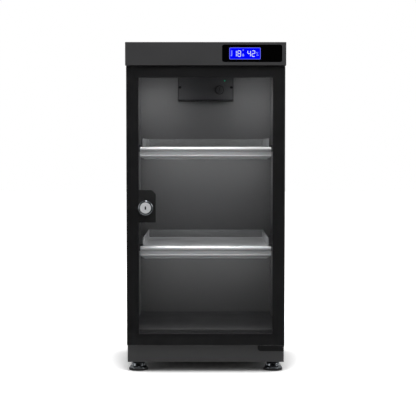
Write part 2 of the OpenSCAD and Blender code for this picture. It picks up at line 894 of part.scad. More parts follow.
module lock_plate() {
    x0 = -window_x;
    x1 = x0 + lock_plate_w;
    z0 = lock_z - lock_plate_down;
    z1 = lock_z + lock_plate_up;
    c = lock_plate_corner;
    color(black_plastic) difference() {
        upright(frame_y, frame_d)
            polygon([[x0, z0], [x1, z0], [x1, z1 - c], [x1 - c, z1], [x0, z1]]);
        y_bar(lock_x, lock_z, frame_y - cut, gasket_y + cut, barrel_d + 2 * loose_fit);
    }
}

module lock_housing() {
    y1 = door_y - flange_t;
    y2 = y1 - cone_t;
    y3 = y2 - face_t;
    color(bright_metal) difference() {
        union() {
            y_bar(lock_x, lock_z, door_y, cam_y - slide_gap, barrel_d);
            y_bar(lock_x, lock_z, y1, door_y, flange_d);
            y_cone(lock_x, lock_z, y2, y1, cone_top_d, flange_d);
            y_bar(lock_x, lock_z, y3, y2, lock_face_d);
        }
        y_bar(lock_x, lock_z, y3 - cut, cam_y, plug_d + 2 * run_fit);
    }
}

module lock_nut() {
    color(bright_metal) difference() {
        translate([lock_x, gasket_y, lock_z]) rotate([-90, 0, 0])
            cylinder(d = nut_d, h = nut_t, $fn = 6);
        y_bar(lock_x, lock_z, gasket_y - cut, gasket_y + nut_t + cut, barrel_d + loose_fit);
    }
}

module lock_plug() {
    y0 = door_y - lock_out + plug_recess;
    s = cam_square / 2;
    color(bright_metal) difference() {
        union() {
            y_bar(lock_x, lock_z, y0, cam_y - slide_gap, plug_d);
            span([lock_x - s, cam_y - slide_gap, lock_z - s],
                [lock_x + s, cam_y + cam_t, lock_z + s]);
        }
        span([lock_x - key_slot_w / 2, y0 - cut, lock_z - key_slot_h / 2],
            [lock_x + key_slot_w / 2, y0 + key_slot_d, lock_z + key_slot_h / 2]);
        y_bar(lock_x, lock_z, cam_y + cam_t - cam_screw_len - cut, cam_y + cam_t + cut,
            cam_screw_d + loose_fit);
    }
}

module lock_cam() {
    s = cam_square / 2 + run_fit;
    color(bright_metal) upright(cam_y, cam_t) difference() {
        union() {
            translate([lock_x, lock_z]) circle(d = cam_w + cam_w / 3);
            panel_outline(lock_x - cam_w / 2, lock_z - cam_reach + cam_w / 2,
                lock_x + cam_w / 2, lock_z);
            translate([lock_x, lock_z - cam_reach + cam_w / 2]) circle(d = cam_w);
        }
        panel_outline(lock_x - s, lock_z - s, lock_x + s, lock_z + s);
    }
}

module cam_screw() {
    y0 = cam_y + cam_t;
    color(bright_metal) {
        y_bar(lock_x, lock_z, y0 - cam_screw_len, y0, cam_screw_d);
        y_bar(lock_x, lock_z, y0, y0 + cam_screw_head_t, cam_screw_head_d);
    }
}

// Dial

module humidity_dial() {
    z = unit_z0 + dial_rise;
    y1 = unit_y - slide_gap;
    color(black_plastic) difference() {
        union() {
            y_bar(dial_x, z, y1 - dial_t, y1, dial_d);
            y_bar(dial_x, z, y1, y1 + dial_stem_h, dial_stem_d);
        }
        span([dial_x - dial_mark_w / 2, y1 - dial_t - cut, z - dial_d / 4],
            [dial_x + dial_mark_w / 2, y1 - dial_t + dial_mark_d, z + dial_d / 3]);
    }
}

// Trays

module tray(deck_z) {
    y0 = tray_y + tray_front_t;
    top = deck_z + tray_wall_h;
    color(tray_white) {
        span([-tongue_x, y0, deck_z - deck_t], [tongue_x, tray_y1, deck_z]);
        for (side = [-1, 1])
            mirror([side < 0 ? 1 : 0, 0, 0])
                span([wall_x, y0, deck_z - deck_t], [tray_side_x, tray_y1, top]);
        span([-wall_x, tray_y1 - tray_wall_t, deck_z - deck_t], [wall_x, tray_y1, top]);
    }
}

module tray_front(deck_z) {
    x1 = tray_front_x;
    z0 = deck_z - tray_front_h;
    r = tray_corner;
    color(tray_white) {
        upright(tray_y, tray_front_t) {
            panel_outline(-x1, z0 + r, x1, deck_z);
            panel_outline(r - x1, z0, x1 - r, deck_z);
            for (x = [r - x1, x1 - r])
                translate([x, z0 + r]) circle(r);
        }
        span([-x1, tray_y - tray_band_out, deck_z - tray_band_h], [x1, tray_y, deck_z]);
        span([tray_rib_inset - x1, tray_y + tray_front_t, z0 - tray_rib_h],
            [x1 - tray_rib_inset, tray_y + tray_front_t + tray_rib_t, deck_z - deck_t]);
    }
}

// Feet

module foot(x, y) {
    cup_z = pad_h;
    hub_z = pad_h + cup_h;
    top_z = hub_z + hub_h;
    color(bright_metal) {
        translate([x, y, cup_z]) cylinder(d1 = cup_d, d2 = cup_top_d, h = cup_h);
        z_bar(x, y, hub_z, top_z, hub_d);
        z_bar(x, y, top_z, top_z + stem_h, stem_d);
    }
}

module pad(x, y) {
    color("#0c0c0d") z_bar(x, y, 0, pad_h, pad_d);
}

side_panel(-1);  // left_side_panel
side_panel(1);  // right_side_panel
roof_panel();
base_panel();
back_panel();
face_frame();
inner_wall(-1);  // left_liner
inner_wall(1);  // right_liner
ceiling_liner();
back_liner();
floor_deck();
runner(upper_deck_z, -1);  // upper_left_runner
runner(upper_deck_z, 1);  // upper_right_runner
runner(lower_deck_z, -1);  // lower_left_runner
runner(lower_deck_z, 1);  // lower_right_runner
strike_plate();
upper_hinge_bracket();
lower_hinge_bracket();
panel_screws();
foot_inserts();
console_cover();
console_fascia();
display_bezel();
lcd_module();
display_board();
wiring_loom();
unit_housing();
unit_face();
potentiometer();
status_led();
control_board();
peltier_tile();
cold_sink();
hot_sink();
rear_vent_cover();
power_socket();
humidity_sensor();
door_glass();
door_frame();
door_gasket();
lock_plate();
lock_housing();
lock_nut();
hinge_bushes();
lock_plug();
lock_cam();
cam_screw();
humidity_dial();
tray(upper_deck_z);  // upper_tray
tray(lower_deck_z);  // lower_tray
tray_front(upper_deck_z);  // upper_tray_front
tray_front(lower_deck_z);  // lower_tray_front
foot(foot_xs[0], foot_ys[0]);  // front_left_foot
foot(foot_xs[1], foot_ys[0]);  // front_right_foot
foot(foot_xs[0], foot_ys[1]);  // rear_left_foot
foot(foot_xs[1], foot_ys[1]);  // rear_right_foot
pad(foot_xs[0], foot_ys[0]);  // front_left_pad
pad(foot_xs[1], foot_ys[0]);  // front_right_pad
pad(foot_xs[0], foot_ys[1]);  // rear_left_pad
pad(foot_xs[1], foot_ys[1]);  // rear_right_pad
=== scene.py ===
import math

import bpy
from bpy.props import FloatProperty, FloatVectorProperty, IntProperty, PointerProperty
from mathutils import Matrix, Vector


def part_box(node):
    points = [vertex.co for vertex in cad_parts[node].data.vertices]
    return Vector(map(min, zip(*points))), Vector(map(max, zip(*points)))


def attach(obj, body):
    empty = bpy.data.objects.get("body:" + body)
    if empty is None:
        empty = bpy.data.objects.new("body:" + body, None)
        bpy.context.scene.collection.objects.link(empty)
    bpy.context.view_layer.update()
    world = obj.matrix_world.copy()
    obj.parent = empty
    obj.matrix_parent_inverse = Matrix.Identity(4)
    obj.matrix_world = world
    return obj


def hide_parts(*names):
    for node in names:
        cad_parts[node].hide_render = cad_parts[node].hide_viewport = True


bl_info = {
    "name": "Camera dry cabinet",
    "version": (1, 0, 0),
    "blender": (4, 5, 0),
    "location": "View3D > Sidebar > Dry cabinet",
    "description": "Builds the visible pieces of a camera dry cabinet around its packed solids",
    "category": "Object",
}

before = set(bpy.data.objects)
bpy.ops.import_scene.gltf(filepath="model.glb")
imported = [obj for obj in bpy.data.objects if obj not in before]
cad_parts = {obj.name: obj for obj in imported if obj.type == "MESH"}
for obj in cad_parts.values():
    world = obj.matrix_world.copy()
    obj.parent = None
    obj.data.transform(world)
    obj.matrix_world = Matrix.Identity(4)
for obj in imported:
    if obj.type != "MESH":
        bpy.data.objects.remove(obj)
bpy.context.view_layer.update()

MM = 0.001
QUARTER = math.pi / 2
# How near two places lie that count as one
NEAR = 0.01 * MM
# Gloss and tone of every finish drift over patches of this size
BROAD_PATCH_MM = 60.0


def linear(code):
    """Turns an sRGB hex colour into the linear red, green, blue and alpha that shaders take."""
    shares = [int(code[i : i + 2], 16) / 255 for i in (1, 3, 5)]
    return [s / 12.92 if s <= 0.04045 else ((s + 0.055) / 1.055) ** 2.4 for s in shares] + [1.0]


# Settings that a user would change


def colour_setting(name, description, code):
    return FloatVectorProperty(name=name, description=description, subtype="COLOR", size=4,
                               min=0, max=1, default=linear(code))


def length_setting(name, description, least, most, usual):
    """A length whose three values are in millimetres."""
    return FloatProperty(name=name, description=description, unit="LENGTH", subtype="DISTANCE",
                         min=least * MM, max=most * MM, default=usual * MM)


class CabinetColours(bpy.types.PropertyGroup):
    """Colours of the cabinet's finishes."""

    outer_paint: colour_setting(
        "Outer paint", "Powder coat of the body, the plinth and the console", "#363637")
    inner_paint: colour_setting("Inner paint", "Paint of the inner walls", "#606061")
    black_plastic: colour_setting(
        "Black plastic", "Moulded door frame, lock plate and socket", "#151516")
    dark_plastic: colour_setting(
        "Dark plastic", "Moulded dehumidifier housing, dial and runners", "#3b3b3d")
    tray_plastic: colour_setting(
        "Tray plastic", "Pale moulded plastic of the pull-out trays", "#c2c3c5")
    display_blue: colour_setting("Display blue", "Backlight of the display", "#0006ff")
    display_figures: colour_setting("Display figures", "Lit figures of the display", "#eaf2ff")
    lamp_green: colour_setting("Lamp green", "Lit lamp of the dehumidifier", "#4fd0a0")


class CabinetSizes(bpy.types.PropertyGroup):
    """Sizes of the details that the solids leave out."""

    fold_radius: length_setting(
        "Fold radius", "Outer radius of the folded steel corners", 1, 4, 3)
    sheet: length_setting("Sheet", "Thickness of the folded steel sheet", 0.8, 2, 1.2)
    console_edge: length_setting(
        "Console edge", "Radius of the console's outer edges", 0.5, 4, 0.9)
    moulded_edge: length_setting(
        "Moulded edge", "Radius of the edges of the moulded pieces", 0.2, 2, 0.8)
    glass_edge: length_setting(
        "Glass edge", "Width of the ground edge of the door glass", 0.2, 1.5, 0.3)
    print_thickness: length_setting(
        "Print thickness", "Thickness of the black border print behind the glass", 0.05, 0.3, 0.1)
    left_figure: IntProperty(
        name="Left figure", description="Number on the left of the display",
        min=0, max=99, default=18)
    right_figure: IntProperty(
        name="Right figure", description="Number on the right of the display",
        min=0, max=99, default=42)


# Modelling: a blank is added at its size and place, then shaped


def nothing_selected():
    if bpy.context.object and bpy.context.object.mode != "OBJECT":
        bpy.ops.object.mode_set(mode="OBJECT")
    bpy.ops.object.select_all(action="DESELECT")


def only(piece):
    nothing_selected()
    piece.select_set(True)
    bpy.context.view_layer.objects.active = piece


def placed(name):
    """Names the new primitive and puts its place into its mesh."""
    piece = bpy.context.object
    piece.name = piece.data.name = name
    bpy.ops.object.transform_apply()
    return piece


def middle(name):
    """Centre of a solid's box in the frame."""
    low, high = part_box(name)
    return (low + high) / 2


def block(name, corner, opposite):
    """A rectangular blank between two opposite corners."""
    nothing_selected()
    corner, opposite = Vector(corner), Vector(opposite)
    bpy.ops.mesh.primitive_cube_add(size=1, location=(corner + opposite) / 2,
                                    scale=[abs(side) for side in opposite - corner])
    return placed(name)


def bar(name, start, end, diameter, sides=48):
    """A round blank from one point to another."""
    nothing_selected()
    start, end = Vector(start), Vector(end)
    along = end - start
    bpy.ops.mesh.primitive_cylinder_add(
        vertices=sides, radius=diameter / 2, depth=along.length, location=(start + end) / 2,
        rotation=along.to_track_quat("Z", "Y").to_euler())
    return placed(name)


def bar_along_y(x, z, y0, y1, diameter, sides=48):
    """A round blank that runs from front to back, mostly to cut a hole."""
    return bar("bar", (x, y0, z), (x, y1, z), diameter, sides)


def edit_edges(piece, wanted):
    """Opens the piece in edit mode with the wanted edges selected."""
    only(piece)
    bpy.context.tool_settings.mesh_select_mode = (False, True, False)
    bpy.ops.object.mode_set(mode="EDIT")
    bpy.ops.mesh.select_all(action="DESELECT")
    bpy.ops.object.mode_set(mode="OBJECT")
    points = [v.co for v in piece.data.vertices]
    for edge in piece.data.edges:
        a, b = (points[i] for i in edge.vertices)
        edge.select = bool(wanted(a, b))
    bpy.ops.object.mode_set(mode="EDIT")


def edit_faces(piece, wanted):
    """Opens the piece in edit mode with the wanted faces selected."""
    only(piece)
    bpy.context.tool_settings.mesh_select_mode = (False, False, True)
    bpy.ops.object.mode_set(mode="EDIT")
    bpy.ops.mesh.select_all(action="DESELECT")
    bpy.ops.object.mode_set(mode="OBJECT")
    for face in piece.data.polygons:
        face.select = bool(wanted(face.center, face.normal))
    bpy.ops.object.mode_set(mode="EDIT")


def edit_done():
    bpy.ops.object.mode_set(mode="OBJECT")


def pushed(piece, wanted, move, wall=0):
    """Draws the wanted faces out or in, inset by a wall first where one is given."""
    edit_faces(piece, wanted)
    if wall:
        bpy.ops.mesh.inset(thickness=wall)
    bpy.ops.mesh.extrude_region_move(TRANSFORM_OT_translate={"value": move})
    edit_done()


def split_faces(piece, wanted, point, normal):
    """Divides the wanted faces along a plane."""
    edit_faces(piece, wanted)
    bpy.ops.mesh.bisect(plane_co=point, plane_no=normal)
    edit_done()


def round_edges(piece, wanted, radius, steps=3):
    edit_edges(piece, wanted)
    bpy.ops.mesh.bevel(offset=radius, segments=steps, affect="EDGES")
    edit_done()


def soften(piece, radius, steps=2, angle=30):
    """Rounds every sharp edge with a Bevel modifier and applies it."""
    only(piece)
    bpy.ops.object.modifier_add(type="BEVEL")
    bevel = piece.modifiers[-1]
    bevel.width = radius
    bevel.segments = steps
    bevel.limit_method = "ANGLE"
    bevel.angle_limit = math.radians(angle)
    bevel.use_clamp_overlap = True
    bpy.ops.object.modifier_apply(modifier=bevel.name)


def removed(piece):
    mesh = piece.data
    bpy.data.objects.remove(piece)
    bpy.data.meshes.remove(mesh)


def cut(piece, cutters, operation="DIFFERENCE"):
    """Cuts the cutters out of the piece, or keeps or adds what they share, and removes them."""
    for cutter in cutters:
        only(piece)
        bpy.ops.object.modifier_add(type="BOOLEAN")
        boolean = piece.modifiers[-1]
        boolean.operation = operation
        boolean.solver = "EXACT"
        boolean.object = cutter
        bpy.ops.object.modifier_apply(modifier=boolean.name)
        removed(cutter)


def joined(pieces):
    """Joins several blanks into the first."""
    only(pieces[0])
    for piece in pieces[1:]:
        piece.select_set(True)
    bpy.ops.object.join()
    return pieces[0]


def copied(piece, name, move):
    """A copy with its own mesh, moved by a vector."""
    twin = piece.copy()
    twin.data = piece.data.copy()
    twin.name = twin.data.name = name
    twin.data.transform(Matrix.Translation(Vector(move)))
    bpy.context.scene.collection.objects.link(twin)
    return twin


def turned(name, foot, axis, profile, sides=64):
    """A turned piece: rings of (radius, height) in millimetres up an axis from its foot."""
    nothing_selected()
    profile = [(r * MM, h * MM) for r, h in profile]
    first_r, first_h = profile[0]
    bpy.ops.mesh.primitive_circle_add(
        vertices=sides, radius=first_r, fill_type="NGON", location=(0, 0, first_h))
    piece = placed(name)
    bpy.ops.object.mode_set(mode="EDIT")
    bpy.ops.mesh.select_all(action="SELECT")
    last_r, last_h = first_r, first_h
    for r, h in profile[1:]:
        bpy.ops.mesh.extrude_region_move(TRANSFORM_OT_translate={"value": (0, 0, h - last_h)})
        bpy.ops.transform.resize(
            value=(r / last_r, r / last_r, 1), center_override=(0, 0, h))
        last_r, last_h = r, h
    bpy.ops.mesh.select_all(action="SELECT")
    bpy.ops.mesh.remove_doubles(threshold=1e-6)
    bpy.ops.mesh.normals_make_consistent(inside=False)
    edit_done()
    piece.rotation_euler = Vector(axis).to_track_quat("Z", "Y").to_euler()
    piece.location = foot
    bpy.ops.object.transform_apply()
    return piece


def drawn(name, points, push):
    """A flat outline drawn point by point, filled and pushed to its thickness."""
    nothing_selected()
    bpy.ops.mesh.primitive_plane_add(size=MM, location=points[0])
    piece = placed(name)
    bpy.context.tool_settings.mesh_select_mode = (True, False, False)
    bpy.ops.object.mode_set(mode="EDIT")
    bpy.ops.mesh.select_all(action="SELECT")
    bpy.ops.mesh.merge(type="CENTER")
    here = Vector(points[0])
    for point in points[1:]:
        bpy.ops.mesh.extrude_vertices_move(
            TRANSFORM_OT_translate={"value": Vector(point) - here})
        here = Vector(point)
    bpy.ops.mesh.select_all(action="SELECT")
    bpy.ops.mesh.edge_face_add()
    bpy.ops.mesh.extrude_region_move(TRANSFORM_OT_translate={"value": Vector(push)})
    bpy.ops.mesh.select_all(action="SELECT")
    bpy.ops.mesh.normals_make_consistent(inside=False)
    edit_done()
    return piece


def pane(name, x0, z0, x1, z1, y0, y1, radius=0.0, steps=5):
    """An upright plate between two planes, with round corners where a radius is given."""
    piece = block(name, (x0, y0, z0), (x1, y1, z1))
    if radius:
        round_edges(piece, lambda a, b: abs(a.y - b.y) > abs(y1 - y0) / 2, radius, steps)
    return piece


def fitted(piece, body, material, slot, *nodes, smooth=35):
    """Gives a finished piece its material, its shading and its place on a body."""
    only(piece)
    piece.data.materials.clear()
    piece.data.materials.append(finish(material))
    bpy.ops.object.shade_smooth_by_angle(angle=math.radians(smooth))
    bpy.ops.object.modifier_add(type="WEIGHTED_NORMAL")
    flats = piece.modifiers[-1]
    flats.keep_sharp = True
    bpy.ops.object.modifier_apply(modifier=flats.name)
    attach(piece, body)
    if nodes:
        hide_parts(*nodes)
    return piece


def dressed(material, *nodes):
    """Gives CAD nodes whose shape is right their material."""
    for name in nodes:
        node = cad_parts[name]
        node.data.materials.clear()
        node.data.materials.append(finish(material))


# Materials


def add_node(tree, kind, inputs=None, **settings):
    """Adds a node, sets its properties, and fills its inputs with values or with links."""
    made = tree.nodes.new(kind)
    for name, value in settings.items():
        setattr(made, name, value)
    for name, value in (inputs or {}).items():
        if isinstance(value, bpy.types.NodeSocket):
            tree.links.new(value, made.inputs[name])
        else:
            made.inputs[name].default_value = value
    return made


def bare_finish(name, **sockets):
    """A material with a Principled shader, its constants set, and the piece's own coordinates."""
    material = bpy.data.materials.new(name)
    material.use_nodes = True
    tree = material.node_tree
    tree.nodes.clear()
    shader = add_node(tree, "ShaderNodeBsdfPrincipled",
                      {k.replace("_", " "): v for k, v in sockets.items()})
    add_node(tree, "ShaderNodeOutputMaterial", {"Surface": shader.outputs[0]})
    place = add_node(tree, "ShaderNodeTexCoord").outputs["Object"]
    return material, tree, shader, place


def per_mm(size):
    """Scale of a noise whose features are this many millimetres across."""
    return 1 / (size * MM)


def show(tree, socket):
    """Puts a shader on the material's output in place of the plain one."""
    output = next(n for n in tree.nodes if n.type == "OUTPUT_MATERIAL")
    tree.links.new(socket, output.inputs["Surface"])


def shade_by(tree, fac, colour, low, high):
    """The colour made darker and lighter by a pattern, between two shares of itself."""
    share = add_node(tree, "ShaderNodeMapRange",
                     {"Value": fac, "From Min": 0.3, "From Max": 0.7, "To Min": low,
                      "To Max": high}).outputs[0]
    return add_node(tree, "ShaderNodeMix", {"Factor": 1.0, "A": colour, "B": share},
                    data_type="RGBA", blend_type="MULTIPLY").outputs["Result"]


def finish_detail(tree, shader, place, colour, peel_mm, peel_depth_mm, rough, tone=0.04):
    """Surface of a coated or moulded piece: a fine skin, patchy gloss and a faint change of tone."""
    fine, broad = (
        add_node(tree, "ShaderNodeTexNoise",
                 {"Vector": place, "Scale": per_mm(size), "Detail": 2.0}).outputs["Fac"]
        for size in (peel_mm, BROAD_PATCH_MM))
    skin = add_node(tree, "ShaderNodeBump", {"Height": fine, "Distance": peel_depth_mm * MM,
                                             "Strength": 1.0})
    gloss = add_node(tree, "ShaderNodeMapRange", {"Value": broad, "From Min": 0.3, "From Max": 0.7,
                                                  "To Min": rough[0], "To Max": rough[1]})
    mixed = add_node(tree, "ShaderNodeMix", {"Factor": 0.5, "A": fine, "B": broad})
    toned = shade_by(tree, mixed.outputs[0], colour, 1 - tone, 1 + tone)
    for socket, name in ((skin.outputs[0], "Normal"), (gloss.outputs[0], "Roughness"),
                         (toned, "Base Color")):
        tree.links.new(socket, shader.inputs[name])


def plain_finish(name, colour, peel_mm, peel_depth_mm, rough, tone=0.04, **sockets):
    """A whole material with that surface and nothing more."""
    material, tree, shader, place = bare_finish(name, **sockets)
    finish_detail(tree, shader, place, colour, peel_mm, peel_depth_mm, rough, tone)
    return material


def colours():
    return bpy.context.scene.cabinet_colours


def powder_coated_steel(name):
    # Polyester powder coat: a dull skin whose orange peel is about a millimetre across
    return plain_finish(name, colours().outer_paint, 1.1, 0.012, (0.5, 0.58), IOR=1.5)


def painted_inner_steel(name):
    # Sprayed inner sheet: smoother than the outside and a little glossier
    return plain_finish(name, colours().inner_paint, 1.6, 0.01, (0.4, 0.48), IOR=1.5)


def black_satin_paint(name):
    # Baked enamel on the hinge brackets: black with a low sheen
    return plain_finish(name, linear("#131314"), 1.2, 0.01, (0.5, 0.58), IOR=1.5,
                        Specular_IOR_Level=0.2)


def black_moulded_abs(name):
    # Spark-eroded mould texture: a matt grain of half a millimetre, drawn at 0.8 so it shows
    return plain_finish(name, colours().black_plastic, 0.8, 0.02, (0.5, 0.6), IOR=1.53)


def dark_moulded_abs(name):
    # The same mould texture in dark grey on the dehumidifier
    return plain_finish(name, colours().dark_plastic, 0.8, 0.018, (0.48, 0.56), IOR=1.53)


def pale_tray_styrene(name):
    # Moulded polystyrene: smooth and glossy, and a little light sinks into it
    return plain_finish(name, colours().tray_plastic, 2.4, 0.006, (0.12, 0.18), tone=0.03,
                        IOR=1.59, Subsurface_Weight=0.08, Subsurface_Scale=0.002)


def clear_tray_styrene(name):
    # The same plastic in thin walls: half clear face on, pale where it is looked along
    material, tree, shader, place = bare_finish(name, IOR=1.59)
    finish_detail(tree, shader, place, colours().tray_plastic, 2.4, 0.006, (0.14, 0.2), tone=0.03)
    along = add_node(tree, "ShaderNodeLayerWeight", {"Blend": 0.5}).outputs["Facing"]
    share = add_node(tree, "ShaderNodeMapRange", {"Value": along, "From Min": 0.0, "From Max": 0.8,
                                                  "To Min": 0.7, "To Max": 0.0})
    clear = add_node(tree, "ShaderNodeBsdfTransparent", {"Color": linear("#f4f5f5")})
    mix = add_node(tree, "ShaderNodeMixShader", {0: share.outputs[0], 1: shader.outputs[0],
                                                 2: clear.outputs[0]})
    show(tree, mix.outputs[0])
    return material


def black_border_print(name):
    # Fired ceramic ink behind the glass: dead black and even
    return plain_finish(name, linear("#1f1f20"), 0.6, 0.002, (0.6, 0.7), tone=0.02, IOR=1.45,
                        Specular_IOR_Level=0.1)


def gloss_black_acrylic(name):
    # Display window: cast acrylic, black and polished
    return plain_finish(name, linear("#020202"), 9.0, 0.002, (0.05, 0.09), tone=0.1, IOR=1.49,
                        Specular_IOR_Level=0.3)


def toughened_glass(name):
    # Float glass with a coated face: nearly no glare, and lamps reach what is behind it
    material, tree, shader, place = bare_finish(
        name, IOR=1.5, Transmission_Weight=1.0, Specular_IOR_Level=0.12, Roughness=0.0,
        Base_Color=linear("#fafafa"))
    waves = add_node(tree, "ShaderNodeTexNoise",
                     {"Vector": place, "Scale": per_mm(90.0), "Detail": 1.0}).outputs["Fac"]
    skin = add_node(tree, "ShaderNodeBump", {"Height": waves, "Distance": 0.02 * MM,
                                             "Strength": 0.3})
    tree.links.new(skin.outputs[0], shader.inputs["Normal"])
    clear = add_node(tree, "ShaderNodeBsdfTransparent", {"Color": linear("#fafafa")})
    rays = add_node(tree, "ShaderNodeLightPath")
    mix = add_node(tree, "ShaderNodeMixShader", {0: rays.outputs["Is Shadow Ray"],
                                                 1: shader.outputs[0], 2: clear.outputs[0]})
    show(tree, mix.outputs[0])
    return material


def sealing_rubber(name):
    # Extruded rubber of the gasket and the foot pads: black and matt, with a dusty bloom
    return plain_finish(name, linear("#1b1b1c"), 0.9, 0.02, (0.7, 0.85), tone=0.12, IOR=1.52,
                        Sheen_Weight=0.08)


def polished_chrome(name):
    # Black chrome plate over polished zinc: a dark mirror with a faint haze
    return plain_finish(name, linear("#868a8e"), 5.0, 0.002, (0.06, 0.12), tone=0.02,
                        Metallic=1.0)


def satin_lock_face(name):
    # Satin nickel, turned in a lathe: rings a third of a millimetre apart, drawn at 0.7
    material, tree, shader, place = bare_finish(name, Metallic=0.35)
    finish_detail(tree, shader, place, linear("#dcdddf"), 0.5, 0.002, (0.42, 0.5))
    centred = add_node(tree, "ShaderNodeMapping",
                       {"Vector": place, "Location": -middle("lock_housing")})
    flat = add_node(tree, "ShaderNodeVectorMath",
                    {0: centred.outputs[0], 1: (1, 0, 1)}, operation="MULTIPLY")
    # A ring wave of scale 1 repeats about twenty times in a metre
    rings = add_node(tree, "ShaderNodeTexWave",
                     {"Vector": flat.outputs[0], "Scale": per_mm(0.7) / 20, "Distortion": 0.4},
                     wave_type="RINGS", rings_direction="SPHERICAL")
    skin = next(n for n in tree.nodes if n.type == "BUMP")
    tree.links.new(rings.outputs["Fac"], skin.inputs["Height"])
    return material


def zinc_plated_steel(name):
    # Zinc plate on pressed steel: grey-blue with an uneven shine
    return plain_finish(name, linear("#9ea2a6"), 0.7, 0.004, (0.3, 0.42), tone=0.08, Metallic=1.0)


def turned_brass(name):
    # Turned brass of the socket's pin: yellow with a fine grain
    return plain_finish(name, linear("#c8a45c"), 0.5, 0.003, (0.25, 0.35), tone=0.05, Metallic=1.0)


def extruded_aluminium(name):
    # Extruded aluminium of the sinks: pale and softly shining
    return plain_finish(name, linear("#c6c8ca"), 0.8, 0.004, (0.3, 0.4), tone=0.05, Metallic=1.0)


def green_circuit_board(name):
    # Glass-epoxy board: green solder mask, patchy over the copper below it
    return plain_finish(name, linear("#1c5230"), 3.0, 0.02, (0.3, 0.4), tone=0.25, IOR=1.5)


def white_ceramic(name):
    # Fired alumina: white, dense and matt
    return plain_finish(name, linear("#dcdcd6"), 0.7, 0.006, (0.5, 0.6), tone=0.03, IOR=1.7)


def cable_jacket(name):
    # PVC sleeve of the loom: black with a soft shine
    return plain_finish(name, linear("#161617"), 1.0, 0.02, (0.4, 0.5), tone=0.06, IOR=1.53)


def lit(name, colour, strength=1.0, least=0.9, rough=0.2):
    """A lens or a display lit from behind, a little uneven as a real backlight is."""
    material, tree, shader, place = bare_finish(
        name, IOR=1.49, Specular_IOR_Level=0.2, Roughness=rough, Emission_Strength=strength,
        Base_Color=linear("#000010"))
    mottle = add_node(tree, "ShaderNodeTexNoise",
                      {"Vector": place, "Scale": per_mm(14.0), "Detail": 1.0}).outputs["Fac"]
    tree.links.new(shade_by(tree, mottle, colour, least, 1.0), shader.inputs["Emission Color"])
    return material


def blue_backlit_display(name):
    # Negative display: blue backlight with a slight mottle
    return lit(name, colours().display_blue, least=0.88, rough=0.1)


def display_edge_glow(name):
    # Light that leaks at the display's rim: paler than the field
    return lit(name, linear("#6f74f4"))


def lit_figures(name):
    # Open segments of the display: almost white
    return lit(name, colours().display_figures)


def faint_figures(name):
    # Small marks that are dimmer than the figures
    return lit(name, linear("#8f9cff"), least=0.85)


def green_lamp(name):
    # Diffused green lamp
    return lit(name, colours().lamp_green, strength=0.9, rough=0.25)


FINISHES = {
    made.__name__: made
    for made in (
        powder_coated_steel, painted_inner_steel, black_satin_paint, black_moulded_abs,
        dark_moulded_abs, pale_tray_styrene, clear_tray_styrene, black_border_print,
        gloss_black_acrylic, toughened_glass, sealing_rubber, polished_chrome, satin_lock_face,
        zinc_plated_steel, turned_brass, extruded_aluminium, green_circuit_board, white_ceramic,
        cable_jacket, blue_backlit_display, display_edge_glow, lit_figures, faint_figures,
        green_lamp)
}


def finish(name):
    """The named material, built the first time that a piece asks for it."""
    return bpy.data.materials.get(name) or FINISHES[name](name)


# The stage


def make_floor():
    """A white floor that keeps the cabinet's soft shadow, deepened by a painted shadow near the
    cabinet.
    """
    nothing_selected()
    bpy.ops.mesh.primitive_plane_add(size=10, location=(0, 4.4, 0))
    floor = placed("studio_floor")
    material = bpy.data.materials.new("white_studio_floor")
    material.use_nodes = True
    tree = material.node_tree
    tree.nodes.clear()
    rays = add_node(tree, "ShaderNodeLightPath")
    place = add_node(tree, "ShaderNodeTexCoord").outputs["Object"]
    along = add_node(tree, "ShaderNodeSeparateXYZ", {0: place}).outputs["Y"]
    # Painted reflection: only mirrored rays see the floor before the door as near black, so the
    # glass mirrors nothing; the camera still sees it white
    painted_dark_reflection = add_node(tree, "ShaderNodeMapRange", {"Value": along, "From Min": -0.44,
                                                  "From Max": -0.3, "To Min": 0.02, "To Max": 0.8})
    mirrored = add_node(tree, "ShaderNodeMath",
                        {0: rays.outputs["Is Glossy Ray"], 1: rays.outputs["Is Transmission Ray"]},
                        operation="MAXIMUM")
    # Painted shadow: the paper's colour darkens where walls are near, near black under the cabinet
    # and soft grey beside it, for the camera and in reflections
    nearness = add_node(tree, "ShaderNodeAmbientOcclusion", {"Distance": 0.13}, samples=12)
    shade = add_node(tree, "ShaderNodeMath", {0: nearness.outputs["AO"], 1: 0.35},
                     operation="MAXIMUM")
    shaded = add_node(tree, "ShaderNodeMath", {0: shade.outputs[0], 1: painted_dark_reflection.outputs[0]},
                      operation="MULTIPLY")
    plain = add_node(tree, "ShaderNodeMix",
                     {"Factor": mirrored.outputs[0], "A": 0.8, "B": shaded.outputs[0]})
    # The camera sees the paper whiter than it lights the cabinet, so its shadow stays soft
    white = add_node(tree, "ShaderNodeMath", {0: shade.outputs[0], 1: 2.2}, operation="MULTIPLY")
    tone = add_node(tree, "ShaderNodeMix", {"Factor": rays.outputs["Is Camera Ray"],
                                            "A": plain.outputs[0], "B": white.outputs[0]})
    paper = add_node(tree, "ShaderNodeBsdfDiffuse", {"Color": tone.outputs[0]})
    add_node(tree, "ShaderNodeOutputMaterial", {"Surface": paper.outputs[0]})
    floor.data.materials.append(material)


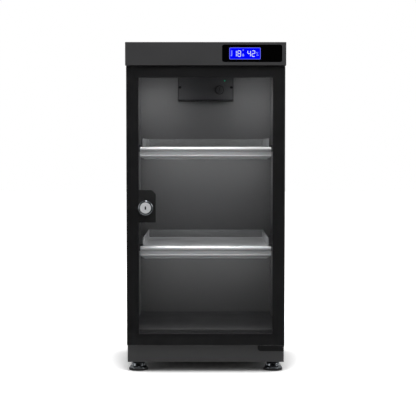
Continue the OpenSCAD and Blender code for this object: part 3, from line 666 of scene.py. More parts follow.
def make_world():
    """White where the camera looks, soft light all round, and dark in front of the door."""
    world = bpy.data.worlds.new("studio")
    bpy.context.scene.world = world
    world.use_nodes = True
    tree = world.node_tree
    tree.nodes.clear()
    rays = add_node(tree, "ShaderNodeLightPath")
    towards = add_node(tree, "ShaderNodeTexCoord").outputs["Generated"]
    parts = add_node(tree, "ShaderNodeSeparateXYZ", {0: towards})
    # The room behind the camera is dark, as it is when a glass front is photographed
    room = add_node(tree, "ShaderNodeMapRange",
                    {"Value": parts.outputs["Y"], "From Min": -0.95, "From Max": 0.0,
                     "To Min": 0.02, "To Max": 1.0}, interpolation_type="SMOOTHSTEP")
    sheen = add_node(tree, "ShaderNodeMath", {0: room.outputs[0], 1: 0.45}, operation="MULTIPLY")
    soft = add_node(tree, "ShaderNodeMix",
                    {"Factor": rays.outputs["Is Glossy Ray"], "A": 0.5, "B": sheen.outputs[0]})
    through = add_node(tree, "ShaderNodeMix", {"Factor": rays.outputs["Is Transmission Ray"],
                                               "A": soft.outputs[0], "B": room.outputs[0]})
    strength = add_node(tree, "ShaderNodeMix", {"Factor": rays.outputs["Is Camera Ray"],
                                                "A": through.outputs[0], "B": 1.0})
    light = add_node(tree, "ShaderNodeBackground",
                     {"Color": linear("#ffffff"), "Strength": strength.outputs[0]})
    add_node(tree, "ShaderNodeOutputWorld", {"Surface": light.outputs[0]})


def lamp(name, place, aim, width, height, watts, mirrored=True):
    """A softbox at a place, turned to a point; one that isn't mirrored shows in no reflection."""
    nothing_selected()
    towards = Vector(aim) - Vector(place)
    bpy.ops.object.light_add(type="AREA", location=place,
                             rotation=towards.to_track_quat("-Z", "Y").to_euler())
    box = bpy.context.object
    box.name = name
    box.data.shape = "RECTANGLE"
    box.data.size = width
    box.data.size_y = height
    box.data.energy = watts
    box.visible_glossy = mirrored
    box.visible_transmission = mirrored
    box.visible_camera = False


def make_camera():
    """The photograph's view: 2.4 m in front of the door, level with the upper tray."""
    pixels = 416
    focal_pixels = 1211.2
    nothing_selected()
    bpy.ops.object.camera_add(
        location=(0, -2.551, 0.4534),
        rotation=(math.radians(90 - 2.93), 0, math.radians(-0.109)))
    camera = bpy.context.object
    camera.name = "photo_camera"
    camera.data.sensor_width = 36
    camera.data.lens = focal_pixels / pixels * 36
    camera.data.clip_start = 0.05
    camera.data.clip_end = 50
    bpy.context.scene.camera = camera


def make_stage():
    """Floor, background, lamps and camera of the photograph."""
    bpy.context.scene.view_settings.view_transform = "Standard"
    make_floor()
    make_world()
    lamp("overhead_softbox", (0, -0.7, 2.3), (0, 0, 0.3), 2.0, 1.2, 22, mirrored=False)
    lamp("overhead_strip", (-0.035, -0.9, 2.1), (0, 0, 0.45), 0.28, 0.5, 9)
    lamp("right_strip", (0.25, -0.9, 2.1), (0, 0, 0.45), 0.07, 0.5, 2.5)
    lamp("left_softbox", (-1.9, -1.0, 0.8), (0, 0, 0.35), 0.6, 1.4, 4)
    lamp("right_softbox", (1.9, -1.0, 1.1), (0, 0, 0.35), 0.6, 1.2, 8)
    # Small lamps above each bay light the back wall from the top down
    for name, z, reach, width, power in (("top", 0.56, 0.11, 0.06, 0.095),
                                         ("middle", 0.436, 0.07, 0.1, 0.1),
                                         ("lower", 0.237, 0.07, 0.1, 0.08)):
        for side, x in (("left", -reach), ("right", reach)):
            lamp(f"{name}_bay_light_{side}", (x, 0.02, z), (x * 0.8, 0.127, z - 0.07), width,
                 0.02, power, mirrored=False)
    # A narrow lamp inside the glass lights the front of each tray
    for level in ("upper", "lower"):
        low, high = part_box(f"{level}_tray_front")
        lamp(f"{level}_tray_light", (-0.01, low.y - 0.006, high.z + 0.04),
             (-0.01, high.y, high.z), 0.24, 0.004, 0.05, mirrored=False)
    make_camera()


# Pieces


def sizes():
    return bpy.context.scene.cabinet_sizes


def same(*places):
    """Whether places along one axis count as one."""
    return max(places) - min(places) < NEAR


def through(a, b):
    """Whether an edge runs from front to back."""
    return abs(a.y - b.y) > MM


def make_outer_panels():
    """Side panels with folded corners, plinth and base, face frame, back and roof."""
    fold = sizes().fold_radius
    sheet = sizes().sheet
    for name, side in (("left_side_panel", -1), ("right_side_panel", 1)):
        low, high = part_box(name)
        outer = high.x if side > 0 else low.x
        depth = fold + 0.2 * MM
        panel = block(f"{name}_folded", (outer - side * depth, low.y, low.z),
                      (outer, high.y, high.z))
        for rear, radius, steps in ((False, fold, 5), (True, fold / 2, 3)):
            round_edges(panel, lambda a, b: abs(a.z - b.z) > 100 * MM and same(a.x, outer)
                        and (a.y > 0) == rear, radius, steps)
        # The sheet is hollow behind: only its folded edges reach inwards
        pushed(panel, lambda c, n: n.x * side < -0.9, (side * (depth - sheet), 0, 0), wall=sheet)
        round_edges(panel, lambda a, b: same(a.x, b.x, outer) and same(a.z, b.z), 0.4 * MM, 2)
        fitted(panel, "cabinet", "powder_coated_steel", "body_paint", name)
    seam = 0.1 * MM
    half = abs(outer) - depth - seam

    low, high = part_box("base_panel")
    floor = low.z + sheet
    base = block("plinth_and_base", (-half, low.y, low.z), (half, high.y, floor))
    # The plinth is the front edge of the base folded up, the skirt stands inside the back panel
    split_faces(base, lambda c, n: n.z > 0.9, (0, low.y + sheet, 0), (0, 1, 0))
    pushed(base, lambda c, n: n.z > 0.9 and c.y < low.y + sheet, (0, 0, high.z - floor))
    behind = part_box("back_panel")[0].y - seam / 2
    skirt = block("skirt", (-half, behind - sheet, floor - seam), (half, behind, low.z + 14 * MM))
    joined([base, skirt])
    round_edges(base, lambda a, b: same(a.z, b.z, low.z) and same(a.y, b.y, low.y), 1.5 * MM, 4)
    soften(base, 0.25 * MM, 2)
    fitted(base, "cabinet", "powder_coated_steel", "body_paint", "base_panel")

    low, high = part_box("face_frame")
    lintel = 17.3 * MM
    ring = block("door_rebate_frame", (-half, low.y, low.z), (half, high.y, high.z))
    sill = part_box("left_liner")[0].z
    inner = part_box("back_liner")[1].x
    cut(ring, [block("opening", (-inner, low.y - MM, sill),
                     (inner, high.y + MM, high.z - lintel))])
    soften(ring, 0.3 * MM, 2)
    fitted(ring, "cabinet", "powder_coated_steel", "body_paint", "face_frame")

    low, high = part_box("back_panel")
    sink_low, sink_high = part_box("hot_sink")
    clear = 0.3 * MM
    back = block("rear_panel", low, high)
    cut(back, [block("sink_window", (sink_low.x - clear, low.y - MM, sink_low.z - clear),
                     (sink_high.x + clear, high.y + MM, sink_high.z + clear))])
    soften(back, 0.3 * MM, 2)
    fitted(back, "cabinet", "powder_coated_steel", "body_paint", "back_panel")
    dressed("powder_coated_steel", "roof_panel")


def make_inner_walls():
    """The inner box keeps its solids, the floor is folded and the runners are moulded."""
    dressed("painted_inner_steel", "left_liner", "right_liner", "ceiling_liner", "back_liner")
    low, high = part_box("floor_deck")
    sheet = sizes().sheet
    under = high.z - sheet
    deck = block("folded_floor", (low.x, low.y, under), high)
    split_faces(deck, lambda c, n: n.z < -0.9, (0, low.y + sheet, 0), (0, 1, 0))
    pushed(deck, lambda c, n: n.z < -0.9 and c.y < low.y + sheet, (0, 0, low.z - under))
    round_edges(deck, lambda a, b: same(a.z, b.z, high.z) and same(a.y, b.y, low.y), 2 * MM, 4)
    soften(deck, 0.2 * MM, 1)
    fitted(deck, "cabinet", "powder_coated_steel", "body_paint", "floor_deck")
    for name in ("upper_left_runner", "upper_right_runner", "lower_left_runner",
                 "lower_right_runner"):
        low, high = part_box(name)
        side = 1 if low.x > 0 else -1
        inner = low.x if side > 0 else high.x
        rail = block(f"{name}_moulded", low, high)
        # The tray's edge slides in a groove below the rail's top
        cut(rail, [block("groove", (inner - side * MM, low.y - MM, high.z - 7.6 * MM),
                         (inner + side * 4.2 * MM, high.y + MM, high.z - 4.0 * MM))])
        soften(rail, 0.5 * MM, 2)
        fitted(rail, "cabinet", "dark_moulded_abs", "dark_plastic", name)


def hinge_pin(z, way, length_mm):
    """A pin on the hinge's axis with a small cone at its end."""
    axis = middle("hinge_bushes")
    return turned("pin", (axis.x, axis.y, z), (0, 0, way),
                  [(2.5, 0), (2.5, length_mm - 0.6), (1.9, length_mm)], 32)


def make_hinge_brackets():
    """The black hinge brackets with their pins, and the lock's strike plate."""
    thick = 2.5 * MM
    low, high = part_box("lower_hinge_bracket")
    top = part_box("base_panel")[1].z - 0.5 * MM
    hem = low.z - 6 * MM
    flange = pane("lower_hinge_plate", low.x, hem, high.x, top, high.y - 3 * MM, high.y)
    round_edges(flange, lambda a, b: through(a, b) and same(a.x, low.x) and same(a.z, hem),
                7 * MM, 6)
    shelf = block("shelf", (low.x + 6 * MM, low.y, top - thick),
                  (high.x, high.y - 2.9 * MM, top))
    round_edges(shelf, lambda a, b: abs(a.z - b.z) > MM and same(a.y, low.y), 2.5 * MM, 4)
    cut(flange, [shelf], "UNION")
    soften(flange, 0.4 * MM, 2)
    joined([flange, hinge_pin(top - thick, 1, (high.z - top + thick) / MM)])
    fitted(flange, "cabinet", "black_satin_paint", "black_paint", "lower_hinge_bracket")

    low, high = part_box("upper_hinge_bracket")
    plate = block("upper_hinge_plate", (low.x, low.y, high.z - thick), high)
    round_edges(plate, lambda a, b: abs(a.z - b.z) > MM, 1.5 * MM, 4)
    soften(plate, 0.3 * MM, 2)
    joined([plate, hinge_pin(high.z - 2.4 * MM, -1, (high.z - low.z - thick) / MM)])
    fitted(plate, "cabinet", "black_satin_paint", "black_paint", "upper_hinge_bracket")

    strike = block("lock_strike", *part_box("strike_plate"))
    soften(strike, 0.4 * MM, 2)
    fitted(strike, "cabinet", "zinc_plated_steel", "zinc_steel", "strike_plate")


def make_screws():
    """Pan-head screws with a cross recess: one is modelled and the rest are its copies."""
    head = turned("cross_head_screw", (0, 0, 0), (0, 0, 1),
                  [(2.8, -0.001), (2.8, 0.7), (2.6, 1.2), (2.1, 1.7), (1.2, 2.0)], 40)
    for turn in (0, QUARTER):
        arm = block("cross", (-1.5 * MM, -0.3 * MM, 0.9 * MM), (1.5 * MM, 0.3 * MM, 3 * MM))
        arm.data.transform(Matrix.Rotation(turn, 4, "Z"))
        cut(head, [arm])
    joined([head, bar("shank", (0, 0, -1.5 * MM), (0, 0, 0.1 * MM), 3 * MM, 24)])
    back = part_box("back_panel")[1].y
    vent_low, vent_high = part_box("rear_vent_cover")
    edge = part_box("back_panel")[1].x - 5 * MM
    ear = vent_high.x - 5.5 * MM
    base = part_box("base_panel")[0].z
    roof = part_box("roof_panel")[1].z
    face_low, face_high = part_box("unit_face")
    # Three on each side of the back, four in the vent cover's ears, two in the dehumidifier's face
    heads = [((x, back, z), 1) for x in (-edge, edge)
             for z in (base + 24 * MM, (base + roof) / 2, vent_low.z - 10 * MM)]
    heads += [((x, back + 2 * MM, z), 1) for x in (-ear, ear)
              for z in (vent_low.z + 11 * MM, vent_high.z - 11 * MM)]
    heads += [((x, face_low.y, face_low.z + 28.3 * MM), -1)
              for x in (face_low.x + 4.5 * MM, face_high.x - 4.5 * MM)]
    for i, (place, way) in enumerate(heads):
        screw = copied(head, f"cross_head_screw_{i + 1}", (0, 0, 0))
        turn = Vector((0, way, 0)).to_track_quat("Z", "Y").to_matrix().to_4x4()
        twist = Matrix.Rotation(0.5 + 0.7 * i, 4, "Z")
        screw.data.transform(Matrix.Translation(Vector(place)) @ turn @ twist)
        if way < 0:
            fitted(screw, "cabinet", "black_satin_paint", "black_paint")
        else:
            fitted(screw, "cabinet", "zinc_plated_steel", "zinc_steel")
    removed(head)
    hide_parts("panel_screws")
    dressed("zinc_plated_steel", "foot_inserts")


# Thickness of the lit figures and marks
MARK = 0.08 * MM


def mark_plane():
    """Front of the figures and marks, a little before the display's field."""
    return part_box("display_bezel")[0].y + 1.42 * MM


def mark(name, outline, x, z):
    """A lit shape from an outline in millimetres."""
    y = mark_plane()
    return drawn(name, [(x + a * MM, y, z + b * MM) for a, b in outline], (0, MARK, 0))


def round_mark(name, x, z, radius_mm, sides=20):
    return turned(name, (x, mark_plane() + MARK, z), (0, -1, 0),
                  [(radius_mm, 0), (radius_mm, MARK / MM)], sides)


def segment(name, x, z, length, upright, width=1.2 * MM):
    """One six-sided bar of a seven-bar figure, centred on its place."""
    tip = width / MM / 2
    half = length / MM / 2
    ends = [(-half, 0), (tip - half, tip), (half - tip, tip), (half, 0), (half - tip, -tip),
            (tip - half, -tip)]
    return mark(name, [(b, a) for a, b in ends] if upright else ends, x, z)


BARS = {0: "abcdef", 1: "bc", 2: "abged", 3: "abgcd", 4: "fgbc", 5: "afgcd", 6: "afgedc",
        7: "abc", 8: "abcdefg", 9: "abcdfg"}


def figure(name, digit, x, z, wide, tall):
    """A lit figure from seven bars; x and z are its lower left corner."""
    half = tall / 2
    gap = 0.25 * MM
    flat = (wide - gap, False)
    upright = (half - gap, True)
    bars = {"a": (x + wide / 2, z + tall, *flat), "b": (x + wide, z + 1.5 * half, *upright),
            "c": (x + wide, z + half / 2, *upright), "d": (x + wide / 2, z, *flat),
            "e": (x, z + half / 2, *upright), "f": (x, z + 1.5 * half, *upright),
            "g": (x + wide / 2, z + half, *flat)}
    made = joined([segment(name, *bars[b]) for b in BARS[digit]])
    fitted(made, "cabinet", "lit_figures", "display_lit")


def make_console():
    """The console on top: its shell, gloss black panel and lit display."""
    low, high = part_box("console_cover")
    wall = 2.5 * MM
    gap = 0.2 * MM
    cover = block("console_shell", low, high)
    round_edges(cover, lambda a, b: same(a.z, high.z) or same(b.z, high.z),
                sizes().console_edge, 4)
    pushed(cover, lambda c, n: n.z < -0.9, (0, 0, high.z - low.z - wall), wall=wall)
    b_low, b_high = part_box("display_bezel")
    l_low, l_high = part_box("lcd_module")
    # The panel is a little wider than its solid, as the photograph shows it
    b_low.x -= 0.8 * MM
    b_high.x += 1.8 * MM
    cut(cover, [
        pane("recess", b_low.x - gap, b_low.z - gap, b_high.x + gap, b_high.z + gap,
             b_low.y - MM, b_high.y, 4.2 * MM),
        block("window", (l_low.x - gap, low.y - MM, l_low.z - gap),
              (l_high.x + gap, low.y + 4 * MM, l_high.z + gap))])
    fitted(cover, "cabinet", "powder_coated_steel", "body_paint", "console_cover",
           "console_fascia")
    # The front's lower strip closes the underside above the door
    low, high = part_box("console_fascia")
    hinge_room = 34.5 * MM
    strip = block("console_sill_strip", (low.x, low.y + wall, low.z),
                  (high.x - hinge_room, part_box("left_side_panel")[0].y - 0.3 * MM,
                   low.z + 1.5 * MM))
    soften(strip, 0.3 * MM, 2)
    fitted(strip, "cabinet", "powder_coated_steel", "body_paint")

    left, right = l_low.x + 3.5 * MM, l_high.x - 3.5 * MM
    bottom, top = l_low.z + 3.6 * MM, l_high.z - 3.2 * MM
    bezel = pane("display_panel", b_low.x, b_low.z, b_high.x, b_high.z, b_low.y, b_high.y,
                 4 * MM, 6)
    cut(bezel, [pane("window", left, bottom, right, top, b_low.y - MM, b_high.y + MM, 2 * MM)])
    soften(bezel, 0.3 * MM, 2)
    fitted(bezel, "cabinet", "gloss_black_acrylic", "display_panel", "display_bezel")
    rim = 0.5 * MM
    glow = pane("display_rim", left - rim, bottom - rim, right + rim, top + rim,
                l_low.y, l_high.y, 1.8 * MM)
    fitted(glow, "cabinet", "display_edge_glow", "display_lit", "lcd_module")
    inset = 0.9 * MM
    field = pane("display_field", left + inset, bottom + inset, right - inset, top - inset,
                 l_low.y - 0.03 * MM, l_low.y + 0.5 * MM, 1.6 * MM)
    fitted(field, "cabinet", "blue_backlit_display", "display_lit")
    make_display_marks(left, bottom + 5.9 * MM)
    dressed("green_circuit_board", "display_board", "control_board")
    dressed("cable_jacket", "wiring_loom")


def make_display_marks(left, base):
    """Two numbers with a thermometer, a degree ring, a drop and a percent mark."""
    tall = 11.2 * MM
    wide = 5.5 * MM
    step = 8.5 * MM
    for name, value, centre in (("temperature_figure", sizes().left_figure, 15.4 * MM),
                                ("humidity_figure", sizes().right_figure, 43.4 * MM)):
        for place, digit in enumerate(divmod(value, 10)):
            start = left + centre + (place - 0.5) * step - wide / 2
            figure(f"{name}_{place + 1}", digit, start, base, wide, tall)
    x = left + 4.2 * MM
    stem = segment("thermometer_mark", x, base + 7.4 * MM, 9.6 * MM, True, 1.1 * MM)
    ticks = [segment("tick", x + 1.9 * MM, base + (4.2 + 2.2 * i) * MM, 1.7 * MM, False, 0.7 * MM)
             for i in range(4)]
    bulb = round_mark("bulb", x, base + 1.8 * MM, 1.3)
    x = left + 27.3 * MM
    ring = round_mark("degree_mark", x, base + 12.4 * MM, 1.2)
    drop = mark("drop", ((0, 6.2), (1.3, 4.0), (2.0, 2.2), (1.6, 0.7), (0, 0), (-1.6, 0.7),
                         (-2.0, 2.2), (-1.3, 4.0)), x, base)
    x = left + 55.2 * MM
    slash = mark("percent_mark", ((-1.9, 1.4), (-1.2, 1.2), (1.9, 8.2), (1.2, 8.4)), x, base)
    dots = [round_mark("dot", x + a * MM, base + b * MM, 1.0, 16)
            for a, b in ((-1.3, 7.4), (1.3, 2.2))]
    for marks in ([stem, bulb, *ticks], [ring, drop], [slash, *dots]):
        fitted(joined(marks), "cabinet", "faint_figures", "display_lit")


def make_dehumidifier():
    """The housing on the back wall, its face, dial and lamp, and the works behind."""
    low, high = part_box("unit_face")
    dial = middle("humidity_dial")
    lens = middle("status_led")
    rim = 1.9 * MM
    face = block("dehumidifier_face", (low.x + rim, low.y, low.z + rim),
                 (high.x - rim, high.y, high.z))
    round_edges(face, lambda a, b: same(a.y, b.y, low.y), 0.6 * MM, 3)
    cut(face, [bar_along_y(dial.x, dial.z, low.y - MM, high.y + MM, 6.6 * MM),
               bar_along_y(lens.x, lens.z, low.y - MM, high.y + MM, 3.4 * MM, 32)])
    fitted(face, "cabinet", "dark_moulded_abs", "dark_plastic", "unit_face")
    # Painted shade: a black rim set 1.2 mm back around the face's sides and bottom darkens the gap
    # between face and housing
    border = block("dehumidifier_gap_shade_rim", (low.x, low.y + 1.2 * MM, low.z), high)
    cut(border, [block("opening", (low.x + rim, low.y - MM, low.z + rim),
                       (high.x - rim, high.y + MM, high.z + MM))])
    soften(border, 0.3 * MM, 2)
    fitted(border, "cabinet", "black_moulded_abs", "black_plastic")
    make_housing(low.z)
    make_dial(low.y)
    low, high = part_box("status_led")
    reach = (high.y - low.y) / MM
    drop = turned("green_lens", (lens.x, high.y, lens.z), (0, -1, 0),
                  [(1.5, 0), (1.5, reach - 0.1), (1.3, reach + 0.4), (0.7, reach + 0.8)], 24)
    fitted(drop, "cabinet", "green_lamp", "green_lamp", "status_led")
    dressed("zinc_plated_steel", "potentiometer")
    dressed("white_ceramic", "peltier_tile", "humidity_sensor")
    dressed("extruded_aluminium", "cold_sink", "hot_sink")


def make_housing(base):
    """The dehumidifier's shell, open to the face, with air slots in its floor."""
    low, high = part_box("unit_housing")
    shell = block("dehumidifier_housing", low, high)
    pushed(shell, lambda c, n: n.y < -0.9, (0, high.y - low.y - MM, 0), wall=1.8 * MM)
    pitch = 9
    slots = [block("slot", ((i * pitch - 1.5) * MM, high.y - 27.8 * MM, base - MM),
                   ((i * pitch + 1.5) * MM, high.y - 1.8 * MM, base + 3 * MM))
             for i in range(-4, 5)]
    cut(shell, [joined(slots)])
    tile_low, tile_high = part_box("peltier_tile")
    cut(shell, [block("window", (tile_low.x - 6 * MM, high.y - 2 * MM, tile_low.z - 2 * MM),
                      (tile_high.x + 6 * MM, high.y + MM, tile_high.z + 2 * MM))])
    soften(shell, sizes().moulded_edge / 2, 2)
    fitted(shell, "cabinet", "dark_moulded_abs", "dark_plastic", "unit_housing")


def make_dial(face):
    """A black skirt, and a knob with a sunk pointer ten degrees clockwise of upright."""
    low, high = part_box("humidity_dial")
    x, _, z = middle("humidity_dial")
    skirt = turned("dial_skirt", (x, face - 0.3 * MM, z), (0, -1, 0),
                   [(9.75, 0), (9.75, 1.2), (9.3, 1.7), (8.2, 1.9), (6.0, 1.9)], 72)
    fitted(skirt, "dial", "black_moulded_abs", "dark_plastic")
    knob = turned("humidity_knob", (x, face - 1.9 * MM, z), (0, -1, 0),
                  [(7.7, 0), (7.7, 0.6), (7.4, 3.8), (7.0, 4.2), (6.0, 4.35)], 72)
    cut(knob, [pane("line", x - 0.9 * MM, z - 4.5 * MM, x + 0.9 * MM, z + 6.0 * MM,
                    low.y - MM, low.y + MM, 0.8 * MM, 4)])
    soften(knob, 0.15 * MM, 1)
    line = pane("dial_line", x - 0.85 * MM, z - 4.45 * MM, x + 0.85 * MM, z + 5.95 * MM,
                low.y + 0.6 * MM, low.y + 1.5 * MM, 0.75 * MM, 4)
    joined([knob, bar_along_y(x, z, face - 0.4 * MM, high.y, 6 * MM)])
    centre = Matrix.Translation((x, 0, z))
    lean = centre @ Matrix.Rotation(math.radians(10), 4, "Y") @ centre.inverted()
    for piece in (knob, line):
        piece.data.transform(lean)
    fitted(line, "dial", "black_moulded_abs", "black_plastic")
    fitted(knob, "dial", "dark_moulded_abs", "dark_plastic", "humidity_dial")


def make_rear_cover():
    """The vented cover on the back, screwed down by two ears on each side."""
    low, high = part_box("rear_vent_cover")
    ear = 11 * MM
    wall = 2 * MM
    shell = block("vented_cover", (low.x + ear, low.y, low.z), (high.x - ear, high.y, high.z))
    round_edges(shell, lambda a, b: same(a.y, high.y) or same(b.y, high.y), 2.5 * MM, 4)
    pushed(shell, lambda c, n: n.y < -0.9, (0, high.y - low.y - wall, 0), wall=wall)
    inset = ear + 12 * MM
    starts = [low.z + (28 + 7 * i) * MM for i in range(7)]
    slots = [pane("slot", low.x + inset, z, high.x - inset, z + 3 * MM,
                  high.y - 4 * MM, high.y + MM, 1.4 * MM, 4) for z in starts]
    cut(shell, [joined(slots)])
    ears = []
    for z in (low.z + ear, high.z - ear):
        tab = pane("ear", low.x, z - ear / 2, high.x, z + ear / 2, low.y, low.y + wall, 3 * MM)
        cut(tab, [block("gap", (low.x + ear + 1.9 * MM, low.y - MM, z - ear),
                        (high.x - ear - 1.9 * MM, low.y + 3 * MM, z + ear))])
        ears.append(tab)
    x, _, z = middle("power_socket")
    cut(shell, [bar_along_y(x, z, high.y - 4 * MM, high.y + MM, 11.2 * MM)])
    joined([shell, *ears])
    soften(shell, 0.3 * MM, 2, 40)
    fitted(shell, "cabinet", "powder_coated_steel", "body_paint", "rear_vent_cover")
    make_power_socket(high.y)


def make_power_socket(rear):
    """A round socket that opens to the rear, with a brass pin inside."""
    x, _, z = middle("power_socket")
    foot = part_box("power_socket")[0].y
    depth = (rear - foot) / MM
    socket = turned("round_power_socket", (x, foot, z), (0, 1, 0),
                    [(5.5, 0), (5.5, depth - 3.5), (7, depth - 3.5), (7, depth - 2.0),
                     (5.5, depth - 2.0), (5.5, depth - 0.4), (5.1, depth), (3.0, depth),
                     (2.8, depth - 0.3), (2.8, depth - 9)], 48)
    pin = turned("socket_pin", (x, rear - 9.2 * MM, z), (0, 1, 0),
                 [(1.0, 0), (1.0, 7.6), (0.6, 8.2)], 20)
    fitted(pin, "cabinet", "turned_brass", "zinc_steel")
    fitted(socket, "cabinet", "black_moulded_abs", "black_plastic", "power_socket")


def ring_pane(name, outer, inner, y0, y1, radius, inner_radius):
    """An upright ring between two rounded rectangles, each given as half width, low z, high z."""
    loops = []
    for (half, z0, z1), corner in ((outer, radius), (inner, inner_radius)):
        nothing_selected()
        bpy.ops.mesh.primitive_plane_add(size=1, location=(0, y0, (z0 + z1) / 2),
                                         rotation=(QUARTER, 0, 0))
        bpy.context.object.scale = (2 * half, z1 - z0, 1)
        loop = placed(name)
        bpy.context.tool_settings.mesh_select_mode = (True, False, False)
        bpy.ops.object.mode_set(mode="EDIT")
        bpy.ops.mesh.select_all(action="SELECT")
        bpy.ops.mesh.bevel(offset=corner, segments=4, affect="VERTICES")
        bpy.ops.mesh.select_all(action="SELECT")
        bpy.ops.mesh.delete(type="ONLY_FACE")
        edit_done()
        loops.append(loop)
    piece = joined(loops)
    bpy.context.tool_settings.mesh_select_mode = (False, True, False)
    bpy.ops.object.mode_set(mode="EDIT")
    bpy.ops.mesh.select_all(action="SELECT")
    bpy.ops.mesh.bridge_edge_loops()
    bpy.ops.mesh.select_all(action="SELECT")
    bpy.ops.mesh.extrude_region_move(TRANSFORM_OT_translate={"value": (0, y1 - y0, 0)})
    bpy.ops.mesh.select_all(action="SELECT")
    bpy.ops.mesh.normals_make_consistent(inside=False)
    edit_done()
    return piece


def lock_hole(front, rear):
    """Cutter for the lock's hole through the glass or the plate."""
    x, _, z = middle("lock_housing")
    return bar_along_y(x, z, front - MM, rear + MM, 19.8 * MM, 64)


def make_door():
    """Glass with its black border print, moulded frame, gasket, lock plate and bushes."""
    low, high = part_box("door_glass")
    window = (high.x - 24 * MM, low.z + 22.7 * MM, high.z - 22 * MM)
    ink = high.y - sizes().print_thickness
    # A hair of air keeps the glass's rear face off the print
    glass = pane("glass_pane", low.x, low.z, high.x, high.z, low.y, ink - 0.05 * MM, 1.5 * MM)
    round_edges(glass, lambda a, b: same(a.y, b.y, low.y), sizes().glass_edge, 2)
    cut(glass, [lock_hole(low.y, high.y)])
    fitted(glass, "door", "toughened_glass", "door_glass", "door_glass", smooth=5)
    rim = 0.8 * MM
    border = ring_pane("border_print", (high.x - rim, low.z + rim, high.z - rim), window,
                       ink, high.y, 1.5 * MM, MM)
    fitted(border, "door", "black_border_print", "black_plastic")
    make_door_frame(window)
    make_gasket()
    make_lock_plate()
    dressed("black_moulded_abs", "hinge_bushes")


def make_door_frame(window):
    """The moulded frame behind the glass, bored for the hinge bushes."""
    low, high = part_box("door_frame")
    moulded = ring_pane("moulded_door_frame", (high.x, low.z, high.z), window, low.y, high.y,
                        1.5 * MM, MM)
    soften(moulded, sizes().moulded_edge, 3)
    axis = middle("hinge_bushes")
    reach = 12 * MM
    for z0, z1 in ((low.z - MM, low.z + reach), (high.z - reach, high.z + MM)):
        cut(moulded, [bar("bore", (axis.x, axis.y, z0), (axis.x, axis.y, z1), 7.5 * MM)])
    fitted(moulded, "door", "black_moulded_abs", "black_plastic", "door_frame")


def make_gasket():
    """The gasket: a raised magnetic strip between two soft folds meets the cabinet."""
    low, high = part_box("door_gasket")
    lip = 8.5 * MM
    strip = 1.2 * MM
    gasket = ring_pane("magnetic_gasket", (high.x, low.z, high.z),
                       (high.x - lip, low.z + lip, high.z - lip), low.y, high.y - strip,
                       2 * MM, MM)
    pushed(gasket, lambda c, n: n.y > 0.9, (0, strip, 0), wall=1.6 * MM)
    soften(gasket, 0.5 * MM, 2)
    fitted(gasket, "door", "sealing_rubber", "rubber", "door_gasket")


def make_lock_plate():
    """The moulded plate behind the glass: one upper corner cut off, the lower one rounded."""
    low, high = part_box("lock_plate")
    plate = pane("moulded_lock_plate", low.x, low.z, high.x, high.z, low.y, high.y)
    for z, radius, steps in ((high.z, 8 * MM, 1), (low.z, 2 * MM, 4)):
        round_edges(plate, lambda a, b: through(a, b) and same(a.x, high.x) and same(a.z, z),
                    radius, steps)
    soften(plate, sizes().moulded_edge, 3)
    cut(plate, [lock_hole(low.y, high.y)])
    fitted(plate, "door", "black_moulded_abs", "black_plastic", "lock_plate")


def make_lock():
    """Chrome lock with a satin face and a key slot, and the cam behind."""
    x, _, z = middle("lock_housing")
    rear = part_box("lock_housing")[1].y
    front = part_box("door_glass")[0].y
    flange = turned("lock_flange", (x, front, z), (0, -1, 0),
                    [(14.9, 0), (14.9, 0.6), (14.6, 1.3), (13.9, 2.0), (12.9, 2.5),
                     (11.6, 2.9), (11.1, 2.7), (10.9, 2.2), (7.2, 2.2)], 96)
    length = (rear - front) / MM
    barrel = turned("barrel", (x, front - 0.1 * MM, z), (0, 1, 0),
                    [(9.5, 0), (9.5, length - 0.3), (9.2, length + 0.1)], 64)
    cut(flange, [barrel], "UNION")
    bore = 14.3 * MM
    cut(flange, [bar_along_y(x, z, front - 9 * MM, rear + MM, bore, 64)])
    fitted(flange, "door", "polished_chrome", "chrome", "lock_housing")
    face = turned("lock_face", (x, front, z), (0, -1, 0),
                  [(10.7, 2.1), (10.7, 6.3), (10.4, 6.8), (9.8, 7.0)], 96)
    cut(face, [bar_along_y(x, z, front - 9 * MM, front, bore, 64)])
    fitted(face, "door", "satin_lock_face", "chrome")
    make_key_plug(x, z)
    make_nut_and_cam(x, z)
    make_cam_screw(x, z)


def make_key_plug(x, z):
    """The plug that a key turns, with a black filler in its slot that paints the keyway's shade."""
    low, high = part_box("lock_plug")
    depth = (high.y - low.y) / MM
    plug = turned("key_plug", (x, high.y, z), (0, -1, 0),
                  [(4.5, 0), (4.5, 2.8), (7, 2.8), (7, depth - 0.4), (6.6, depth)], 64)
    cut(plug, [pane("slot", x - 1.6 * MM, z - 3.5 * MM, x + 1.6 * MM, z + 3.5 * MM,
                    low.y - MM, low.y + 9 * MM, 1.55 * MM, 6)])
    fitted(plug, "latch", "satin_lock_face", "chrome", "lock_plug")
    # Painted shade: black rubber inside the key slot darkens the keyway
    slot_shade = pane("key_slot_shade", x - 1.55 * MM, z - 3.45 * MM, x + 1.55 * MM, z + 3.45 * MM,
                  low.y + 2.2 * MM, low.y + 8 * MM, 1.5 * MM, 6)
    fitted(slot_shade, "latch", "sealing_rubber", "black_plastic")


def make_nut_and_cam(x, z):
    """The hexagon nut that holds the lock, and the cam that the plug carries."""
    low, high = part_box("lock_nut")
    thick = (high.y - low.y) / MM
    nut = turned("hexagon_nut", (x, low.y, z), (0, 1, 0),
                 [(12.1, 0), (12.5, 0.4), (12.5, thick - 0.4), (12.1, thick)], 6)
    cut(nut, [bar_along_y(x, z, low.y - MM, high.y + MM, 19.1 * MM, 64)])
    fitted(nut, "door", "zinc_plated_steel", "zinc_steel", "lock_nut", smooth=20)
    low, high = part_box("lock_cam")
    cam = pane("pressed_cam", x - 7 * MM, low.z, x + 7 * MM, high.z, low.y, high.y, 6.9 * MM, 8)
    cut(cam, [bar_along_y(x, z, low.y, high.y, 18.6 * MM, 64)], "UNION")
    soften(cam, 0.3 * MM, 2, 40)
    fitted(cam, "latch", "zinc_plated_steel", "zinc_steel", "lock_cam")


